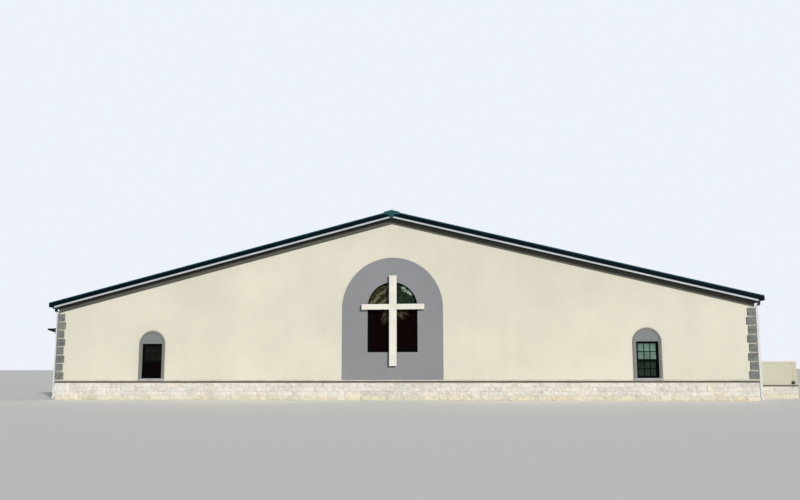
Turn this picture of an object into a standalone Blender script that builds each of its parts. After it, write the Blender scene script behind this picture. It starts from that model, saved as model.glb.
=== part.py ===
"""A wide single-storey church hall: rendered walls on a stone base, under a low metal gable roof.

The front gable faces -Y and the ridge runs along Y. The ground is at z = 0, and the origin is at the
middle of the floor slab's underside. Every length is in metres.
"""
from math import cos, pi, sin

import bmesh
import bpy

# Clearance left between two pieces that touch, and how far a cut runs past the piece it cuts
GAP = 0.0003
OVERCUT = 1.0

# Walls and floor
WALL_WIDTH = 30.48
WALL_LENGTH = 36.58
WALL_THICKNESS = 0.20
EAVE_HEIGHT = 4.105
SLAB_THICKNESS = 0.15

# Stone base and the ledge on it
BASE_HEIGHT = 0.757
BASE_PROUD = 0.025
LEDGE_HEIGHT = 0.09
LEDGE_PROUD = 0.045
LEDGE_WASH = 0.01

# Roof, its edge boards and its gutters
ROOF_PITCH = 0.25
ROOF_DEPTH = 0.32
RAKE_OVERHANG = 0.33
RAKE_TRIM_HEIGHT = 0.208
RAKE_TRIM_THICKNESS = 0.03
RAKE_FASCIA_HEIGHT = 0.088
RAKE_FASCIA_THICKNESS = 0.018
RAKE_FASCIA_STOP = 0.07
EAVE_OVERHANG = 0.16
FRIEZE_HEIGHT = 0.21
FRIEZE_PROUD = 0.04
GUTTER_WIDTH = 0.175
GUTTER_HEIGHT = 0.205
GUTTER_DROP = 0.05
GUTTER_FOOT = 0.135
GUTTER_LIP = 0.16
GUTTER_METAL = 0.008

# Ridge cap, the plate that closes its end, and the lightning rod
CAP_HALF_WIDTH = 0.345
CAP_THICKNESS = 0.04
PEAK_PLATE_THICKNESS = 0.012
PEAK_PLATE_DROP = 0.16
PEAK_TAB_HALF_WIDTH = 0.12
PEAK_TAB_SIDE = 0.235
PEAK_TAB_TIP = 0.365
ROD_RADIUS = 0.008
ROD_HEIGHT = 0.13
ROD_SETBACK = 0.26
ROD_SIDES = 10

# Downspouts, of folded rectangular pipe
DOWNSPOUT_WIDTH = 0.10
DOWNSPOUT_DEPTH = 0.10
DOWNSPOUT_SETBACK = 0.10
DOWNSPOUT_STANDOFF = 0.045
OUTLET_INSET = 0.034
ELBOW_TOP_DROP = 0.11
ELBOW_RUN_DROP = 0.15
STRAP_WIDTH = 0.08
STRAP_HEIGHT = 0.05
STRAP_COURSE = 1
SHOE_HEIGHT = 0.20
SHOE_REACH = 0.09
SHOE_LIFT = 0.05

# Corner quoins
QUOIN_PITCH = 0.374
QUOIN_JOINT = 0.07
QUOIN_NARROW = 0.285
QUOIN_WIDE = 0.34
QUOIN_JOINT_WIDTH = 0.265
QUOIN_PROUD = 0.045
QUOIN_JOINT_PROUD = 0.018

# Large grey arched panel on the front gable
PANEL_WIDTH = 4.42
PANEL_SPRING_HEIGHT = 3.985
PANEL_PROUD = 0.03
ARC_SEGMENTS = 36

# Arched centre window
CENTRE_WINDOW_WIDTH = 2.20
CENTRE_WINDOW_SILL = 2.063
CENTRE_WINDOW_SPRING = 4.011
CENTRE_FRAME_WIDTH = 0.05
CENTRE_FRAME_DEPTH = 0.10
CENTRE_WINDOW_RECESS = 0.04
MULLION_WIDTH = 0.07
MULLION_DEPTH = 0.06

# Small windows with arch-headed surrounds
WINDOW_OFFSET = 10.80
WINDOW_WIDTH = 0.92
WINDOW_HEIGHT = 1.527
WINDOW_SILL_HEIGHT = 0.952
WINDOW_FRAME_WIDTH = 0.055
WINDOW_FRAME_DEPTH = 0.155
WINDOW_RAIL_HEIGHT = 0.10
WINDOW_RAIL_DROP = 0.03
WINDOW_RAIL_DEPTH = 0.115
WINDOW_RECESS = 0.015
GLASS_THICKNESS = 0.012
SURROUND_BAND = 0.13
SURROUND_PROUD = 0.03
SURROUND_CROWN = 0.577
SILL_PROUD = 0.07
SILL_TOP_DROP = 0.012

# Windows of the two long sides
SIDE_WINDOW_COUNT = 4
SIDE_WINDOW_CORNER = 4.44
SHEET_MARGIN = 0.05

# Cross in front of the centre window
CROSS_OFFSET = 0.04
CROSS_BOTTOM = 1.472
CROSS_HEIGHT = 3.923
CROSS_SPAN = 2.74
CROSS_POST_WIDTH = 0.32
CROSS_ARM_HEIGHT = 0.238
CROSS_ARM_LEVEL = 4.026
CROSS_DEPTH = 0.14
CROSS_STANDOFF = 0.06
BRACKET_SIZE = 0.12
BRACKET_INSET = 0.05

# Entrance doors, in the middle of the rear gable
DOOR_LEAF_WIDTH = 0.915
DOOR_LEAF_HEIGHT = 2.13
DOOR_FRAME_WIDTH = 0.05
DOOR_FRAME_DEPTH = 0.13
DOOR_THICKNESS = 0.045
DOOR_STILE = 0.13
DOOR_PANEL_RECESS = 0.015
DOOR_CLEARANCE = 0.003
DOOR_RECESS = 0.05

# Floodlight on the left wall, close behind the front corner
LIGHT_SETBACK = 0.42
LIGHT_PLATE_HEIGHT = 2.90
LIGHT_PLATE_SIZE = 0.12
LIGHT_PLATE_THICKNESS = 0.02
LIGHT_ARM_LENGTH = 0.35
LIGHT_ARM_SIZE = 0.035
LIGHT_STEM_HEIGHT = 0.14
LIGHT_HEAD_LENGTH = 0.38
LIGHT_HEAD_WIDTH = 0.28
LIGHT_HEAD_HEIGHT = 0.19
LIGHT_HEAD_TIP = 0.06

# Low screen wall of the yard on the right side
YARD_SETBACK = 2.90
YARD_REACH = 2.48
YARD_LENGTH = 4.90
YARD_THICKNESS = 0.20
YARD_BASE_HEIGHT = 0.54
YARD_LEDGE_HEIGHT = 0.06
YARD_HEIGHT = 1.66
YARD_CAP_HEIGHT = 0.07
YARD_CAP_PROUD = 0.03

# Colours as they are seen, in sRGB, with roughness and metallic value
STUCCO = ((0.87, 0.85, 0.77), 0.9, 0.0)
GREY_STUCCO = ((0.55, 0.56, 0.57), 0.9, 0.0)
STONE = ((0.88, 0.86, 0.80), 0.95, 0.0)
LEDGE = ((0.45, 0.43, 0.37), 0.8, 0.0)
CONCRETE = ((0.62, 0.61, 0.58), 0.9, 0.0)
GREEN_METAL = ((0.05, 0.20, 0.21), 0.4, 0.3)
TEAL_METAL = ((0.17, 0.36, 0.37), 0.4, 0.3)
WHITE_METAL = ((0.80, 0.81, 0.82), 0.4, 0.2)
TAUPE_BOARD = ((0.38, 0.37, 0.33), 0.7, 0.0)
WHITE_PAINT = ((0.95, 0.93, 0.89), 0.5, 0.0)
BLACK_METAL = ((0.06, 0.06, 0.06), 0.4, 0.4)
DARK_GLASS = ((0.12, 0.16, 0.16), 0.05, 0.0)

# Places that several pieces share
HALF_WIDTH = WALL_WIDTH / 2
HALF_LENGTH = WALL_LENGTH / 2
INNER_HALF_WIDTH = HALF_WIDTH - WALL_THICKNESS
INNER_HALF_LENGTH = HALF_LENGTH - WALL_THICKNESS
LEDGE_TOP = BASE_HEIGHT + LEDGE_HEIGHT
FRIEZE_BOTTOM = EAVE_HEIGHT - FRIEZE_HEIGHT
QUOIN_COUNT = int((FRIEZE_BOTTOM - LEDGE_TOP) / QUOIN_PITCH)
SOFFIT_RIDGE = EAVE_HEIGHT + ROOF_PITCH * HALF_WIDTH
ROOF_RIDGE = SOFFIT_RIDGE + ROOF_DEPTH
SLAB_EDGE = HALF_WIDTH + EAVE_OVERHANG
ROOF_END = HALF_LENGTH + RAKE_OVERHANG
RAKE_FACE = ROOF_END + GAP + RAKE_TRIM_THICKNESS
GUTTER_BACK = SLAB_EDGE + GAP
GUTTER_FRONT = GUTTER_BACK + GUTTER_WIDTH
GUTTER_TOP = ROOF_RIDGE - ROOF_PITCH * SLAB_EDGE - GUTTER_DROP
GUTTER_BOTTOM = GUTTER_TOP - GUTTER_HEIGHT
WINDOW_TOP = WINDOW_SILL_HEIGHT + WINDOW_HEIGHT
SURROUND_HALF_WIDTH = WINDOW_WIDTH / 2 + SURROUND_BAND
SURROUND_SPRING = WINDOW_TOP + SURROUND_CROWN - SURROUND_HALF_WIDTH
DOOR_HALF_OPENING = DOOR_LEAF_WIDTH + DOOR_FRAME_WIDTH + DOOR_CLEARANCE
DOOR_OPENING_TOP = SLAB_THICKNESS + DOOR_LEAF_HEIGHT + DOOR_FRAME_WIDTH + 2 * DOOR_CLEARANCE
FRONT = -1
REAR = 1
LEFT = -1
RIGHT = 1


def clear_scene():
    """Remove whatever the file opened with."""
    for item in list(bpy.data.objects):
        bpy.data.objects.remove(item, do_unlink=True)


def as_light(channel):
    """One sRGB channel as linear light."""
    if channel <= 0.04045:
        return channel / 12.92
    return ((channel + 0.055) / 1.055) ** 2.4


def paint(piece, finish):
    """Give a piece a material of its own."""
    colour, roughness, metallic = finish
    material = bpy.data.materials.new(piece.name)
    material.use_nodes = True
    shader = material.node_tree.nodes["Principled BSDF"]
    shader.inputs["Base Color"].default_value = (*(as_light(c) for c in colour), 1.0)
    shader.inputs["Roughness"].default_value = roughness
    shader.inputs["Metallic"].default_value = metallic
    piece.data.materials.append(material)
    return piece


def new_piece(name, shape):
    """Turn a bmesh into a named object, its faces pointing outwards."""
    bmesh.ops.recalc_face_normals(shape, faces=shape.faces)
    mesh = bpy.data.meshes.new(name)
    shape.to_mesh(mesh)
    shape.free()
    piece = bpy.data.objects.new(name, mesh)
    bpy.context.collection.objects.link(piece)
    return piece


def prism(name, outline, axis, low, high):
    """Extrude an outline along an axis, from low to high.

    The outline's points are (x, z) along Y, (y, z) along X and (x, y) along Z.
    """
    placed = {
        "X": lambda a, b: (low, a, b),
        "Y": lambda a, b: (a, low, b),
        "Z": lambda a, b: (a, b, low),
    }[axis]
    step = {"X": (high - low, 0, 0), "Y": (0, high - low, 0), "Z": (0, 0, high - low)}[axis]
    shape = bmesh.new()
    face = shape.faces.new([shape.verts.new(placed(a, b)) for a, b in outline])
    grown = bmesh.ops.extrude_face_region(shape, geom=[face], use_keep_orig=True)
    tops = [item for item in grown["geom"] if isinstance(item, bmesh.types.BMVert)]
    bmesh.ops.translate(shape, verts=tops, vec=step)
    return new_piece(name, shape)


def box(name, x, y, z):
    """A block between two values on each axis."""
    return prism(name, rectangle(x[0], x[1], y[0], y[1]), "Z", z[0], z[1])


def rectangle(left, right, bottom, top):
    """The four corners of an upright rectangle."""
    return [(left, bottom), (right, bottom), (right, top), (left, top)]


def arch(centre, half_width, bottom, spring):
    """A rectangle under a half circle."""
    outline = [(centre - half_width, bottom), (centre + half_width, bottom)]
    for step in range(ARC_SEGMENTS + 1):
        angle = pi * step / ARC_SEGMENTS
        outline.append((centre + half_width * cos(angle), spring + half_width * sin(angle)))
    return outline


def as_guide(tool):
    """Hide a solid that only shapes another one."""
    tool.hide_render = True
    tool.display_type = "WIRE"
    return tool


def combine(piece, tool, operation):
    """Add a solid to a piece, or cut it away."""
    modifier = piece.modifiers.new(tool.name, "BOOLEAN")
    modifier.operation = operation
    modifier.object = as_guide(tool)
    return piece


def cut(piece, tool):
    """Cut a solid out of a piece."""
    return combine(piece, tool, "DIFFERENCE")


def add(piece, tool):
    """Join an overlapping solid to a piece."""
    return combine(piece, tool, "UNION")


def rectangular_ring(name, profile, half_x, half_y):
    """Sweep a closed (offset, height) profile round a rectangle, with mitred corners."""
    shape = bmesh.new()
    corners = [(-1, -1), (1, -1), (1, 1), (-1, 1)]
    loops = []
    for offset, height in profile:
        x = half_x + offset
        y = half_y + offset
        loops.append([shape.verts.new((sx * x, sy * y, height)) for sx, sy in corners])
    for number, loop in enumerate(loops):
        following = loops[(number + 1) % len(loops)]
        for corner in range(4):
            beside = (corner + 1) % 4
            shape.faces.new((loop[corner], loop[beside], following[beside], following[corner]))
    return new_piece(name, shape)


def stacked_solid(name, levels):
    """Stack prisms with as many corners each into one solid.

    Each level is (bottom, top, corners). Corners that two levels share stay one point.
    """
    shape = bmesh.new()
    points = {}

    def point(x, y, z):
        key = (round(x, 6), round(y, 6), round(z, 6))
        if key not in points:
            points[key] = shape.verts.new((x, y, z))
        return points[key]

    rings = []
    for bottom, top, corners in levels:
        rings.append([point(x, y, bottom) for x, y in corners])
        rings.append([point(x, y, top) for x, y in corners])
    for lower, upper in zip(rings, rings[1:]):
        for number in range(len(lower)):
            beside = (number + 1) % len(lower)
            around = (lower[number], lower[beside], upper[beside], upper[number])
            corners = list(dict.fromkeys(around))
            if len(corners) > 2:
                shape.faces.new(corners)
    shape.faces.new(rings[0])
    shape.faces.new(rings[-1])
    return new_piece(name, shape)


def roof_line(ridge, distance):
    """Height on a roof plane at a distance from the ridge."""
    return ridge - ROOF_PITCH * abs(distance)


def chevron(ridge, height, half_width):
    """The outline of a band that follows both slopes, with its upper edge on a roof plane."""
    eave = roof_line(ridge, half_width)
    return [
        (-half_width, eave - height),
        (0, ridge - height),
        (half_width, eave - height),
        (half_width, eave),
        (0, ridge),
        (-half_width, eave),
    ]


def between(side, near, far):
    """An ordered pair of places on one side of the middle."""
    return tuple(sorted((side * near, side * far)))


def small_window_opening(centre):
    """Outline of the hole for a small window."""
    half = WINDOW_WIDTH / 2
    return rectangle(centre - half, centre + half, WINDOW_SILL_HEIGHT, WINDOW_TOP)


def surround_outline(centre):
    """Outline of the arch-headed band round a small window."""
    return arch(centre, SURROUND_HALF_WIDTH, LEDGE_TOP + GAP, SURROUND_SPRING)


def sill_outline(centre):
    """Outline of the sill at the foot of a surround."""
    top = WINDOW_SILL_HEIGHT - SILL_TOP_DROP
    return rectangle(centre - SURROUND_HALF_WIDTH, centre + SURROUND_HALF_WIDTH, LEDGE_TOP + GAP, top)


def side_window_places():
    """Places of the small windows along a side, from front to rear."""
    first = SIDE_WINDOW_CORNER - HALF_LENGTH
    pitch = (WALL_LENGTH - 2 * SIDE_WINDOW_CORNER) / (SIDE_WINDOW_COUNT - 1)
    return [first + pitch * number for number in range(SIDE_WINDOW_COUNT)]


def make_floor():
    """Concrete slab between the stone bases."""
    x = INNER_HALF_WIDTH - GAP
    y = INNER_HALF_LENGTH - GAP
    paint(box("floor_slab", (-x, x), (-y, y), (0, SLAB_THICKNESS)), CONCRETE)


def make_bases():
    """Stone base: the gable pieces take the corners, and the side pieces fit between them."""
    across = (-HALF_WIDTH - BASE_PROUD, HALF_WIDTH + BASE_PROUD)
    along = (-INNER_HALF_LENGTH + GAP, INNER_HALF_LENGTH - GAP)
    rise = (0, BASE_HEIGHT)
    outer = HALF_LENGTH + BASE_PROUD
    paint(box("front_base", across, between(FRONT, INNER_HALF_LENGTH, outer), rise), STONE)
    rear = box("rear_base", across, between(REAR, INNER_HALF_LENGTH, outer), rise)
    doorway = rectangle(-DOOR_HALF_OPENING, DOOR_HALF_OPENING, SLAB_THICKNESS, DOOR_OPENING_TOP)
    cut(rear, prism("rear_base_doorway", doorway, "Y", INNER_HALF_LENGTH - OVERCUT, outer + OVERCUT))
    paint(rear, STONE)
    for side, name in ((LEFT, "left_base"), (RIGHT, "right_base")):
        thickness = between(side, INNER_HALF_WIDTH, HALF_WIDTH + BASE_PROUD)
        paint(box(name, thickness, along, rise), STONE)


def make_ledge():
    """Thin projecting ledge round the building, broken by the doorway."""
    bottom = BASE_HEIGHT + GAP
    profile = [
        (GAP, bottom),
        (LEDGE_PROUD, bottom),
        (LEDGE_PROUD, LEDGE_TOP - LEDGE_WASH),
        (GAP, LEDGE_TOP),
    ]
    ledge = rectangular_ring("stone_ledge", profile, HALF_WIDTH, HALF_LENGTH)
    doorway = rectangle(-DOOR_HALF_OPENING, DOOR_HALF_OPENING, SLAB_THICKNESS, DOOR_OPENING_TOP)
    cut(ledge, prism("ledge_doorway", doorway, "Y", HALF_LENGTH - OVERCUT, HALF_LENGTH + OVERCUT))
    paint(ledge, LEDGE)


def gable_outline():
    """A gable wall, from the base to the soffit."""
    ridge = SOFFIT_RIDGE - GAP
    bottom = BASE_HEIGHT + GAP
    eave = roof_line(ridge, HALF_WIDTH)
    return [(-HALF_WIDTH, bottom), (HALF_WIDTH, bottom), (HALF_WIDTH, eave), (0, ridge), (-HALF_WIDTH, eave)]


def make_front_wall():
    """Front gable wall with its arched window and two small ones."""
    near, far = between(FRONT, INNER_HALF_LENGTH, HALF_LENGTH)
    wall = prism("front_wall", gable_outline(), "Y", near, far)
    centre = arch(0, CENTRE_WINDOW_WIDTH / 2, CENTRE_WINDOW_SILL, CENTRE_WINDOW_SPRING)
    cut(wall, prism("front_wall_arch", centre, "Y", near - OVERCUT, far + OVERCUT))
    for side, name in ((LEFT, "left"), (RIGHT, "right")):
        opening = small_window_opening(side * WINDOW_OFFSET)
        cut(wall, prism(f"front_wall_{name}_opening", opening, "Y", near - OVERCUT, far + OVERCUT))
    paint(wall, STUCCO)


def make_rear_wall():
    """Rear gable wall with the doorway and two small windows, whose surrounds are part of its render."""
    near, far = between(REAR, INNER_HALF_LENGTH, HALF_LENGTH)
    wall = prism("rear_wall", gable_outline(), "Y", near, far)
    middle = (near + far) / 2
    for side, name in ((LEFT, "left"), (RIGHT, "right")):
        centre = side * WINDOW_OFFSET
        surround = surround_outline(centre)
        add(wall, prism(f"rear_{name}_surround", surround, "Y", middle, far + SURROUND_PROUD))
        add(wall, prism(f"rear_{name}_sill", sill_outline(centre), "Y", middle, far + SILL_PROUD))
        opening = small_window_opening(centre)
        cut(wall, prism(f"rear_wall_{name}_opening", opening, "Y", near - OVERCUT, far + OVERCUT))
    doorway = rectangle(-DOOR_HALF_OPENING, DOOR_HALF_OPENING, SLAB_THICKNESS, DOOR_OPENING_TOP)
    cut(wall, prism("rear_wall_doorway", doorway, "Y", near - OVERCUT, far + OVERCUT))
    paint(wall, STUCCO)


def make_side_wall(side, name):
    """Long side wall, its top sloped to meet the roof, its surrounds part of its render."""
    ridge = SOFFIT_RIDGE - GAP
    bottom = BASE_HEIGHT + GAP
    outer_top = roof_line(ridge, HALF_WIDTH)
    inner_top = roof_line(ridge, INNER_HALF_WIDTH)
    outline = [
        (side * INNER_HALF_WIDTH, bottom),
        (side * HALF_WIDTH, bottom),
        (side * HALF_WIDTH, outer_top),
        (side * INNER_HALF_WIDTH, inner_top),
    ]
    reach = INNER_HALF_LENGTH - GAP
    wall = prism(f"{name}_wall", outline, "Y", -reach, reach)
    middle = INNER_HALF_WIDTH + WALL_THICKNESS / 2
    for number, centre in enumerate(side_window_places(), 1):
        band = between(side, middle, HALF_WIDTH + SURROUND_PROUD)
        sill = between(side, middle, HALF_WIDTH + SILL_PROUD)
        hole = between(side, INNER_HALF_WIDTH - OVERCUT, HALF_WIDTH + OVERCUT)
        add(wall, prism(f"{name}_surround_{number}", surround_outline(centre), "X", *band))
        add(wall, prism(f"{name}_sill_{number}", sill_outline(centre), "X", *sill))
        cut(wall, prism(f"{name}_opening_{number}", small_window_opening(centre), "X", *hole))
    paint(wall, STUCCO)


def make_side_glass(side, name):
    """One sheet of glass that closes a side's windows from within."""
    places = side_window_places()
    margin = WINDOW_WIDTH / 2 + SHEET_MARGIN
    outer = INNER_HALF_WIDTH - GAP
    x = between(side, outer - GLASS_THICKNESS, outer)
    y = (places[0] - margin, places[-1] + margin)
    z = (WINDOW_SILL_HEIGHT - SHEET_MARGIN, WINDOW_TOP + SHEET_MARGIN)
    paint(box(f"{name}_side_glass", x, y, z), DARK_GLASS)


def make_arch_panel():
    """Grey arched panel on the front gable, round the centre window."""
    outline = arch(0, PANEL_WIDTH / 2, LEDGE_TOP + GAP, PANEL_SPRING_HEIGHT)
    face = -HALF_LENGTH - GAP
    panel = prism("front_arch_panel", outline, "Y", face - PANEL_PROUD, face)
    window = arch(0, CENTRE_WINDOW_WIDTH / 2, CENTRE_WINDOW_SILL, CENTRE_WINDOW_SPRING)
    cut(panel, prism("front_panel_window", window, "Y", face - OVERCUT, face + OVERCUT))
    paint(panel, GREY_STUCCO)


def make_centre_window():
    """Arched window: a frame with a mullion and a transom, and one pane behind them."""
    half = CENTRE_WINDOW_WIDTH / 2 - GAP
    bottom = CENTRE_WINDOW_SILL + GAP
    face = -HALF_LENGTH + CENTRE_WINDOW_RECESS
    back = face + CENTRE_FRAME_DEPTH
    frame = prism("centre_window_frame", arch(0, half, bottom, CENTRE_WINDOW_SPRING), "Y", face, back)
    clear_half = half - CENTRE_FRAME_WIDTH
    clear_bottom = bottom + CENTRE_FRAME_WIDTH
    clear = arch(0, clear_half, clear_bottom, CENTRE_WINDOW_SPRING)
    cut(frame, prism("centre_frame_clear", clear, "Y", face - OVERCUT, back + OVERCUT))
    joined = CENTRE_FRAME_WIDTH / 2
    crown = CENTRE_WINDOW_SPRING + clear_half + joined
    mullion = rectangle(-MULLION_WIDTH / 2, MULLION_WIDTH / 2, clear_bottom - joined, crown)
    add(frame, prism("centre_mullion", mullion, "Y", face, face + MULLION_DEPTH))
    low = CENTRE_WINDOW_SPRING - MULLION_WIDTH / 2
    transom = rectangle(-clear_half - joined, clear_half + joined, low, low + MULLION_WIDTH)
    add(frame, prism("centre_transom", transom, "Y", face, face + MULLION_DEPTH))
    paint(frame, BLACK_METAL)
    pane = arch(0, clear_half - GAP, clear_bottom + GAP, CENTRE_WINDOW_SPRING)
    start = face + MULLION_DEPTH + GAP
    paint(prism("centre_window_glass", pane, "Y", start, start + GLASS_THICKNESS), DARK_GLASS)


def make_surround(side, name):
    """Arch-headed surround and sill of a small window on the front."""
    centre = side * WINDOW_OFFSET
    face = -HALF_LENGTH - GAP
    surround = prism(f"{name}_window_surround", surround_outline(centre), "Y", face - SURROUND_PROUD, face)
    add(surround, prism(f"{name}_window_sill", sill_outline(centre), "Y", face - SILL_PROUD, face))
    opening = small_window_opening(centre)
    cut(surround, prism(f"{name}_surround_opening", opening, "Y", face - OVERCUT, face + OVERCUT))
    paint(surround, GREY_STUCCO)


def window_frame_outlines(centre):
    """Outer edge, clear opening and meeting rail of a small window's frame."""
    half = WINDOW_WIDTH / 2 - GAP
    bottom = WINDOW_SILL_HEIGHT + GAP
    top = WINDOW_TOP - GAP
    inset = WINDOW_FRAME_WIDTH
    middle = (bottom + top) / 2 - WINDOW_RAIL_DROP
    outer = rectangle(centre - half, centre + half, bottom, top)
    clear = rectangle(centre - half + inset, centre + half - inset, bottom + inset, top - inset)
    rail_half = half - inset / 2
    low = middle - WINDOW_RAIL_HEIGHT / 2
    rail = rectangle(centre - rail_half, centre + rail_half, low, low + WINDOW_RAIL_HEIGHT)
    return outer, clear, rail


def make_front_window(side, name):
    """Small double-hung window of the front: its frame, and one pane behind the meeting rail."""
    outer, clear, rail = window_frame_outlines(side * WINDOW_OFFSET)
    face = -HALF_LENGTH + WINDOW_RECESS
    back = face + WINDOW_FRAME_DEPTH
    frame = prism(f"{name}_window_frame", outer, "Y", face, back)
    cut(frame, prism(f"{name}_window_clear", clear, "Y", face - OVERCUT, back + OVERCUT))
    add(frame, prism(f"{name}_window_rail", rail, "Y", face, face + WINDOW_RAIL_DEPTH))
    paint(frame, BLACK_METAL)
    (left, bottom), (right, top) = clear[0], clear[2]
    start = face + WINDOW_RAIL_DEPTH + GAP
    pane = box(
        f"{name}_window_glass",
        (left + GAP, right - GAP),
        (start, start + GLASS_THICKNESS),
        (bottom + GAP, top - GAP),
    )
    paint(pane, DARK_GLASS)


def make_rear_window(side, name):
    """Small window of the rear gable, with its frame and pane in one piece."""
    outer, clear, rail = window_frame_outlines(side * WINDOW_OFFSET)
    face = HALF_LENGTH - WINDOW_RECESS
    back = face - WINDOW_FRAME_DEPTH
    window = prism(f"rear_{name}_window", outer, "Y", back, face)
    middle = (face + back) / 2
    cut(window, prism(f"rear_{name}_outside", clear, "Y", middle + GLASS_THICKNESS / 2, face + OVERCUT))
    cut(window, prism(f"rear_{name}_inside", clear, "Y", back - OVERCUT, middle - GLASS_THICKNESS / 2))
    add(window, prism(f"rear_{name}_rail", rail, "Y", middle, face))
    paint(window, BLACK_METAL)


def make_cross():
    """Box-section cross on four brackets that clear the window."""
    back = -HALF_LENGTH - GAP - PANEL_PROUD - CROSS_STANDOFF
    post = CROSS_POST_WIDTH / 2
    arm = CROSS_SPAN / 2
    low = CROSS_ARM_LEVEL - CROSS_ARM_HEIGHT / 2
    high = CROSS_ARM_LEVEL + CROSS_ARM_HEIGHT / 2
    top = CROSS_BOTTOM + CROSS_HEIGHT
    outline = [
        (-post, CROSS_BOTTOM),
        (post, CROSS_BOTTOM),
        (post, low),
        (arm, low),
        (arm, high),
        (post, high),
        (post, top),
        (-post, top),
        (-post, high),
        (-arm, high),
        (-arm, low),
        (-post, low),
    ]
    outline = [(CROSS_OFFSET + x, z) for x, z in outline]
    cross = prism("cross", outline, "Y", back - CROSS_DEPTH, back)
    half = BRACKET_SIZE / 2
    reach = arm - BRACKET_INSET - half
    feet = [
        ("foot", CROSS_OFFSET, CROSS_BOTTOM + BRACKET_INSET + half),
        ("head", CROSS_OFFSET, top - BRACKET_INSET - half),
        ("left", CROSS_OFFSET - reach, CROSS_ARM_LEVEL),
        ("right", CROSS_OFFSET + reach, CROSS_ARM_LEVEL),
    ]
    seat = -HALF_LENGTH - GAP - PANEL_PROUD - GAP
    for name, x, z in feet:
        outline = rectangle(x - half, x + half, z - half, z + half)
        add(cross, prism(f"cross_bracket_{name}", outline, "Y", back - CROSS_DEPTH / 2, seat))
    paint(cross, WHITE_PAINT)


def make_entrance():
    """Closed pair of doors in their frame, in the rear gable."""
    face = HALF_LENGTH - DOOR_RECESS
    back = face - DOOR_FRAME_DEPTH
    floor = SLAB_THICKNESS + GAP
    half = DOOR_HALF_OPENING - GAP
    top = DOOR_OPENING_TOP - GAP
    inner = half - DOOR_FRAME_WIDTH
    head = top - DOOR_FRAME_WIDTH
    frame_outline = [
        (-half, floor),
        (-inner, floor),
        (-inner, head),
        (inner, head),
        (inner, floor),
        (half, floor),
        (half, top),
        (-half, top),
    ]
    paint(prism("entrance_frame", frame_outline, "Y", back, face), BLACK_METAL)
    leaf = inner - GAP
    start = face - DOOR_THICKNESS
    doors = prism("entrance_doors", rectangle(-leaf, leaf, floor + GAP, head - GAP), "Y", start, face)
    for side, name in ((LEFT, "left"), (RIGHT, "right")):
        x = between(side, DOOR_STILE, leaf - DOOR_STILE)
        panel = rectangle(*x, floor + 2 * DOOR_STILE, head - DOOR_STILE)
        cut(doors, prism(f"{name}_door_outside", panel, "Y", face - DOOR_PANEL_RECESS, face + OVERCUT))
        cut(doors, prism(f"{name}_door_inside", panel, "Y", start - OVERCUT, start + DOOR_PANEL_RECESS))
    paint(doors, BLACK_METAL)


def make_roof():
    """Two roof slopes that meet at the ridge."""
    for side, name in ((LEFT, "left"), (RIGHT, "right")):
        outline = [
            (side * GAP, roof_line(SOFFIT_RIDGE, GAP)),
            (side * SLAB_EDGE, roof_line(SOFFIT_RIDGE, SLAB_EDGE)),
            (side * SLAB_EDGE, roof_line(ROOF_RIDGE, SLAB_EDGE)),
            (side * GAP, roof_line(ROOF_RIDGE, GAP)),
        ]
        paint(prism(f"roof_{name}", outline, "Y", -ROOF_END, ROOF_END), GREEN_METAL)


def make_ridge_cap():
    """Ridge cap, closed by a plate over each rake trim, with a short rod near the front."""
    seat = ROOF_RIDGE + GAP
    top = seat + CAP_THICKNESS
    plate_start = RAKE_FACE + GAP
    end = plate_start + PEAK_PLATE_THICKNESS
    cap = prism("ridge_cap", chevron(top, CAP_THICKNESS, CAP_HALF_WIDTH), "Y", -end, end)
    side_edge = [
        (PEAK_TAB_HALF_WIDTH, seat - PEAK_TAB_SIDE),
        (PEAK_TAB_HALF_WIDTH, seat - PEAK_PLATE_DROP),
        (CAP_HALF_WIDTH, seat - PEAK_PLATE_DROP),
        (CAP_HALF_WIDTH, roof_line(top, CAP_HALF_WIDTH)),
    ]
    mirrored = [(-x, z) for x, z in reversed(side_edge)]
    plate = [(0, seat - PEAK_TAB_TIP), *side_edge, (0, top), *mirrored]
    for side, name in ((FRONT, "front"), (REAR, "rear")):
        add(cap, prism(f"{name}_peak_plate", plate, "Y", *between(side, plate_start, end)))
    place = -RAKE_FACE + ROD_SETBACK
    circle = []
    for step in range(ROD_SIDES):
        angle = 2 * pi * step / ROD_SIDES
        circle.append((ROD_RADIUS * cos(angle), place + ROD_RADIUS * sin(angle)))
    foot = seat + CAP_THICKNESS / 2
    add(cap, prism("lightning_rod", circle, "Z", foot, top + ROD_HEIGHT))
    paint(cap, TEAL_METAL)


def rake_trim_outline():
    """A band along both slopes whose ends close the gutters and follow their section."""
    foot = GUTTER_BACK + GUTTER_FOOT
    low = roof_line(ROOF_RIDGE, foot) - RAKE_TRIM_HEIGHT
    lip = GUTTER_TOP - GUTTER_LIP
    top = roof_line(ROOF_RIDGE, GUTTER_FRONT)
    half = [(foot, low), (GUTTER_FRONT, lip), (GUTTER_FRONT, top)]
    mirrored = [(-x, z) for x, z in reversed(half)]
    return [(0, ROOF_RIDGE - RAKE_TRIM_HEIGHT), *half, (0, ROOF_RIDGE), *mirrored]


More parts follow.
